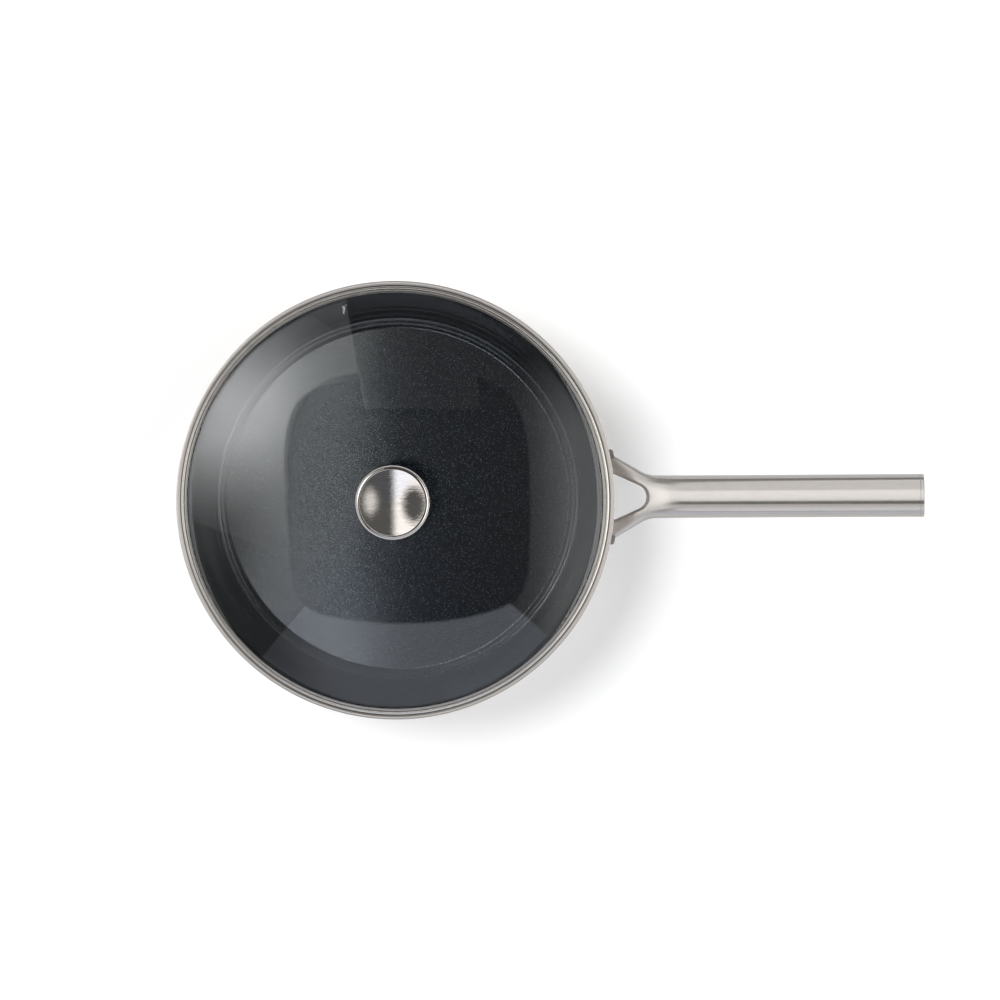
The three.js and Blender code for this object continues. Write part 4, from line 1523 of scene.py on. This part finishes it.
class SKILLET_OT_stage(SkilletOperator, bpy.types.Operator):
    """Lay the floor, put up the light tent and the lamps, and aim the camera from above"""

    bl_idname = "skillet.stage"
    bl_label = "Stage"

    def execute(self, context):
        studio, scene = self.settings.studio, bpy.context.scene
        scene.view_settings.view_transform = "Standard"
        scene.world = LightTent().world(studio)
        self.floor(studio, scene)
        self.key_lamp(studio, scene)
        self.fill_lamp(studio, scene)
        self.rim_lamp(studio, scene)
        self.strip_lamps(studio, scene)
        self.camera(studio, scene)
        return {"FINISHED"}

    @staticmethod
    def floor(studio, scene):
        half_width, gap = 20, 0.0002
        shape = bmesh.new()
        bmesh.ops.create_grid(shape, x_segments=8, y_segments=8, size=half_width)
        mesh = bpy.data.meshes.new("floor")
        shape.to_mesh(mesh)
        shape.free()
        mesh.materials.append(floor_finish("floor_white", studio.floor, studio.floor_glow))
        floor = bpy.data.objects.new("floor", mesh)
        floor.location.z = solid_box[0][2] - gap
        scene.collection.objects.link(floor)

    @staticmethod
    def linked(name, pieces, state="INCLUDE"):
        """A collection of pieces that a lamp takes in or leaves out."""
        collection = bpy.data.collections.new(name)
        for piece in pieces:
            collection.objects.link(bpy.data.objects[piece])
        for item in collection.collection_objects:
            item.light_linking.link_state = state
        return collection

    @staticmethod
    def panel(scene, name, width, depth, level):
        """A flat lamp that faces down, as bright as its level all over."""
        data = bpy.data.lights.new(name, "AREA")
        data.shape, data.size, data.size_y = "RECTANGLE", width, depth
        data.energy = level * math.pi * width * depth
        lamp = bpy.data.objects.new(name, data)
        scene.collection.objects.link(lamp)
        return lamp

    def key_lamp(self, studio, scene):
        """A soft lamp at the upper left behind the tent's opening, brightest in its middle."""
        falloff, seen_from = 13.0, Vector((-0.08, 0.056, 0.09))
        lamp = self.panel(scene, "key_lamp", studio.key_width, studio.key_width, studio.key_light)
        finish = Finish(lamp.data)
        u, v, _ = finish.split(finish.add("ShaderNodeNewGeometry", output="Parametric"))
        fade = ((u - 0.5) ** 2 + (v - 0.5) ** 2) * -falloff
        x, y, z = finish.split(finish.add("ShaderNodeNewGeometry", output="Position"))
        rise = z - seen_from.z
        wall = LightTent().past_opening((x - seen_from.x) / rise, (y - seen_from.y) / rise)
        level = fade.math("EXPONENT", fade) * wall
        glow = finish.add("ShaderNodeEmission", inputs={"Color": finish.tint(level, (1, 1, 1))})
        finish.done(glow, "ShaderNodeOutputLight")
        lamp.location = studio.key_place
        aim = Vector(studio.key_aim) - lamp.location
        lamp.rotation_euler = aim.to_track_quat("-Z", "Y").to_euler()
        left_out = ("floor", "crimped_band", "handle_tube", "handle_plug")
        lamp.light_linking.receiver_collection = self.linked("not_lit_by_key", left_out, "EXCLUDE")

    def fill_lamp(self, studio, scene):
        """A broad distant lamp that lights matte surfaces and casts the shadow on the floor."""
        data = bpy.data.lights.new("fill_lamp", "SUN")
        data.energy, data.angle = studio.fill_light, studio.fill_spread
        lamp = bpy.data.objects.new("fill_lamp", data)
        lamp.visible_glossy = lamp.visible_transmission = False
        scene.collection.objects.link(lamp)
        lamp.rotation_euler = (0, math.pi / 2 - studio.fill_height, studio.fill_turn)
        shadowless = self.linked("no_shadow_from_fill", ("handle_tube", "handle_plug"), "EXCLUDE")
        lamp.light_linking.blocker_collection = shadowless

    def rim_lamp(self, studio, scene):
        """A wide panel overhead that shines on the rim alone."""
        width, depth, height = 1.9, 0.5, 1.6
        lamp = self.panel(scene, "rim_lamp", width, depth, studio.rim_light)
        lamp.location.z = height
        lamp.light_linking.receiver_collection = self.linked("lit_by_rim_lamp", ("bowl", "crimped_band"))

    def strip_lamps(self, studio, scene):
        """Two panels overhead that shine on the handle alone, with a dark gap between them."""
        width, across, height = 0.7, -0.4, 1.0
        strips = (("back_strip", -0.21, 2.2, 1.0), ("front_strip", -1.6, -0.43, 0.72))
        lit = self.linked("lit_by_strips", ("handle_tube", "handle_plug"))
        for name, near, far, level in strips:
            lamp = self.panel(scene, name, width, far - near, level * studio.strip_light)
            lamp.location = (across, (near + far) / 2, height)
            lamp.light_linking.receiver_collection = lit

    @staticmethod
    def camera(studio, scene):
        data = bpy.data.cameras.new("camera")
        data.lens, data.sensor_width, data.sensor_fit = studio.lens, 36.0, "HORIZONTAL"
        data.clip_end = 100
        camera = bpy.data.objects.new("camera", data)
        scene.collection.objects.link(camera)
        stand, aim = Vector(studio.camera_place), Vector(studio.camera_aim)
        back = (stand - aim).normalized()
        right = Vector((0, 1, 0)).cross(back).normalized()
        axes = Matrix((right, back.cross(right), back)).transposed().to_4x4()
        roll = Matrix.Rotation(studio.camera_roll, 4, "Z")
        camera.matrix_world = Matrix.Translation(stand) @ axes @ roll
        scene.camera = camera


class SKILLET_PT_sidebar(bpy.types.Panel):
    """Settings and building steps of the skillet"""

    bl_idname = "SKILLET_PT_sidebar"
    bl_label = "Skillet with Lid"
    bl_space_type = "VIEW_3D"
    bl_region_type = "UI"
    bl_category = "Skillet"

    def draw(self, context):
        layout, settings = self.layout, context.scene.skillet
        for group in (settings.pan, settings.handle, settings.lid, settings.finishes, settings.studio):
            box = layout.box()
            for name in group.__annotations__:
                box.prop(group, name)
        for operator in OPERATORS:
            layout.operator(operator.bl_idname)


OPERATORS = (
    SKILLET_OT_bowl,
    SKILLET_OT_lining,
    SKILLET_OT_base,
    SKILLET_OT_handle,
    SKILLET_OT_end_cap,
    SKILLET_OT_feet,
    SKILLET_OT_glass,
    SKILLET_OT_band,
    SKILLET_OT_knob_cap,
    SKILLET_OT_stem,
    SKILLET_OT_gaskets,
    SKILLET_OT_washers,
    SKILLET_OT_screw,
    SKILLET_OT_stage,
)
GROUPS = (PanSizes, HandleSizes, LidSizes, Finishes, Studio, SkilletSettings)
CLASSES = (*GROUPS, *OPERATORS, SKILLET_PT_sidebar)


def register():
    for item in CLASSES:
        bpy.utils.register_class(item)
    bpy.types.Scene.skillet = PointerProperty(
        type=SkilletSettings, name="Skillet", description="Settings of the skillet"
    )


def unregister():
    del bpy.types.Scene.skillet
    for item in reversed(CLASSES):
        bpy.utils.unregister_class(item)


def main():
    register()
    bpy.ops.skillet.bowl()
    bpy.ops.skillet.lining()
    bpy.ops.skillet.base()
    bpy.ops.skillet.handle()
    bpy.ops.skillet.end_cap()
    bpy.ops.skillet.feet()
    bpy.ops.skillet.glass()
    bpy.ops.skillet.band()
    bpy.ops.skillet.knob_cap()
    bpy.ops.skillet.stem()
    bpy.ops.skillet.gaskets()
    bpy.ops.skillet.washers()
    bpy.ops.skillet.screw()
    bpy.ops.skillet.stage()


if __name__ == "__main__":
    main()
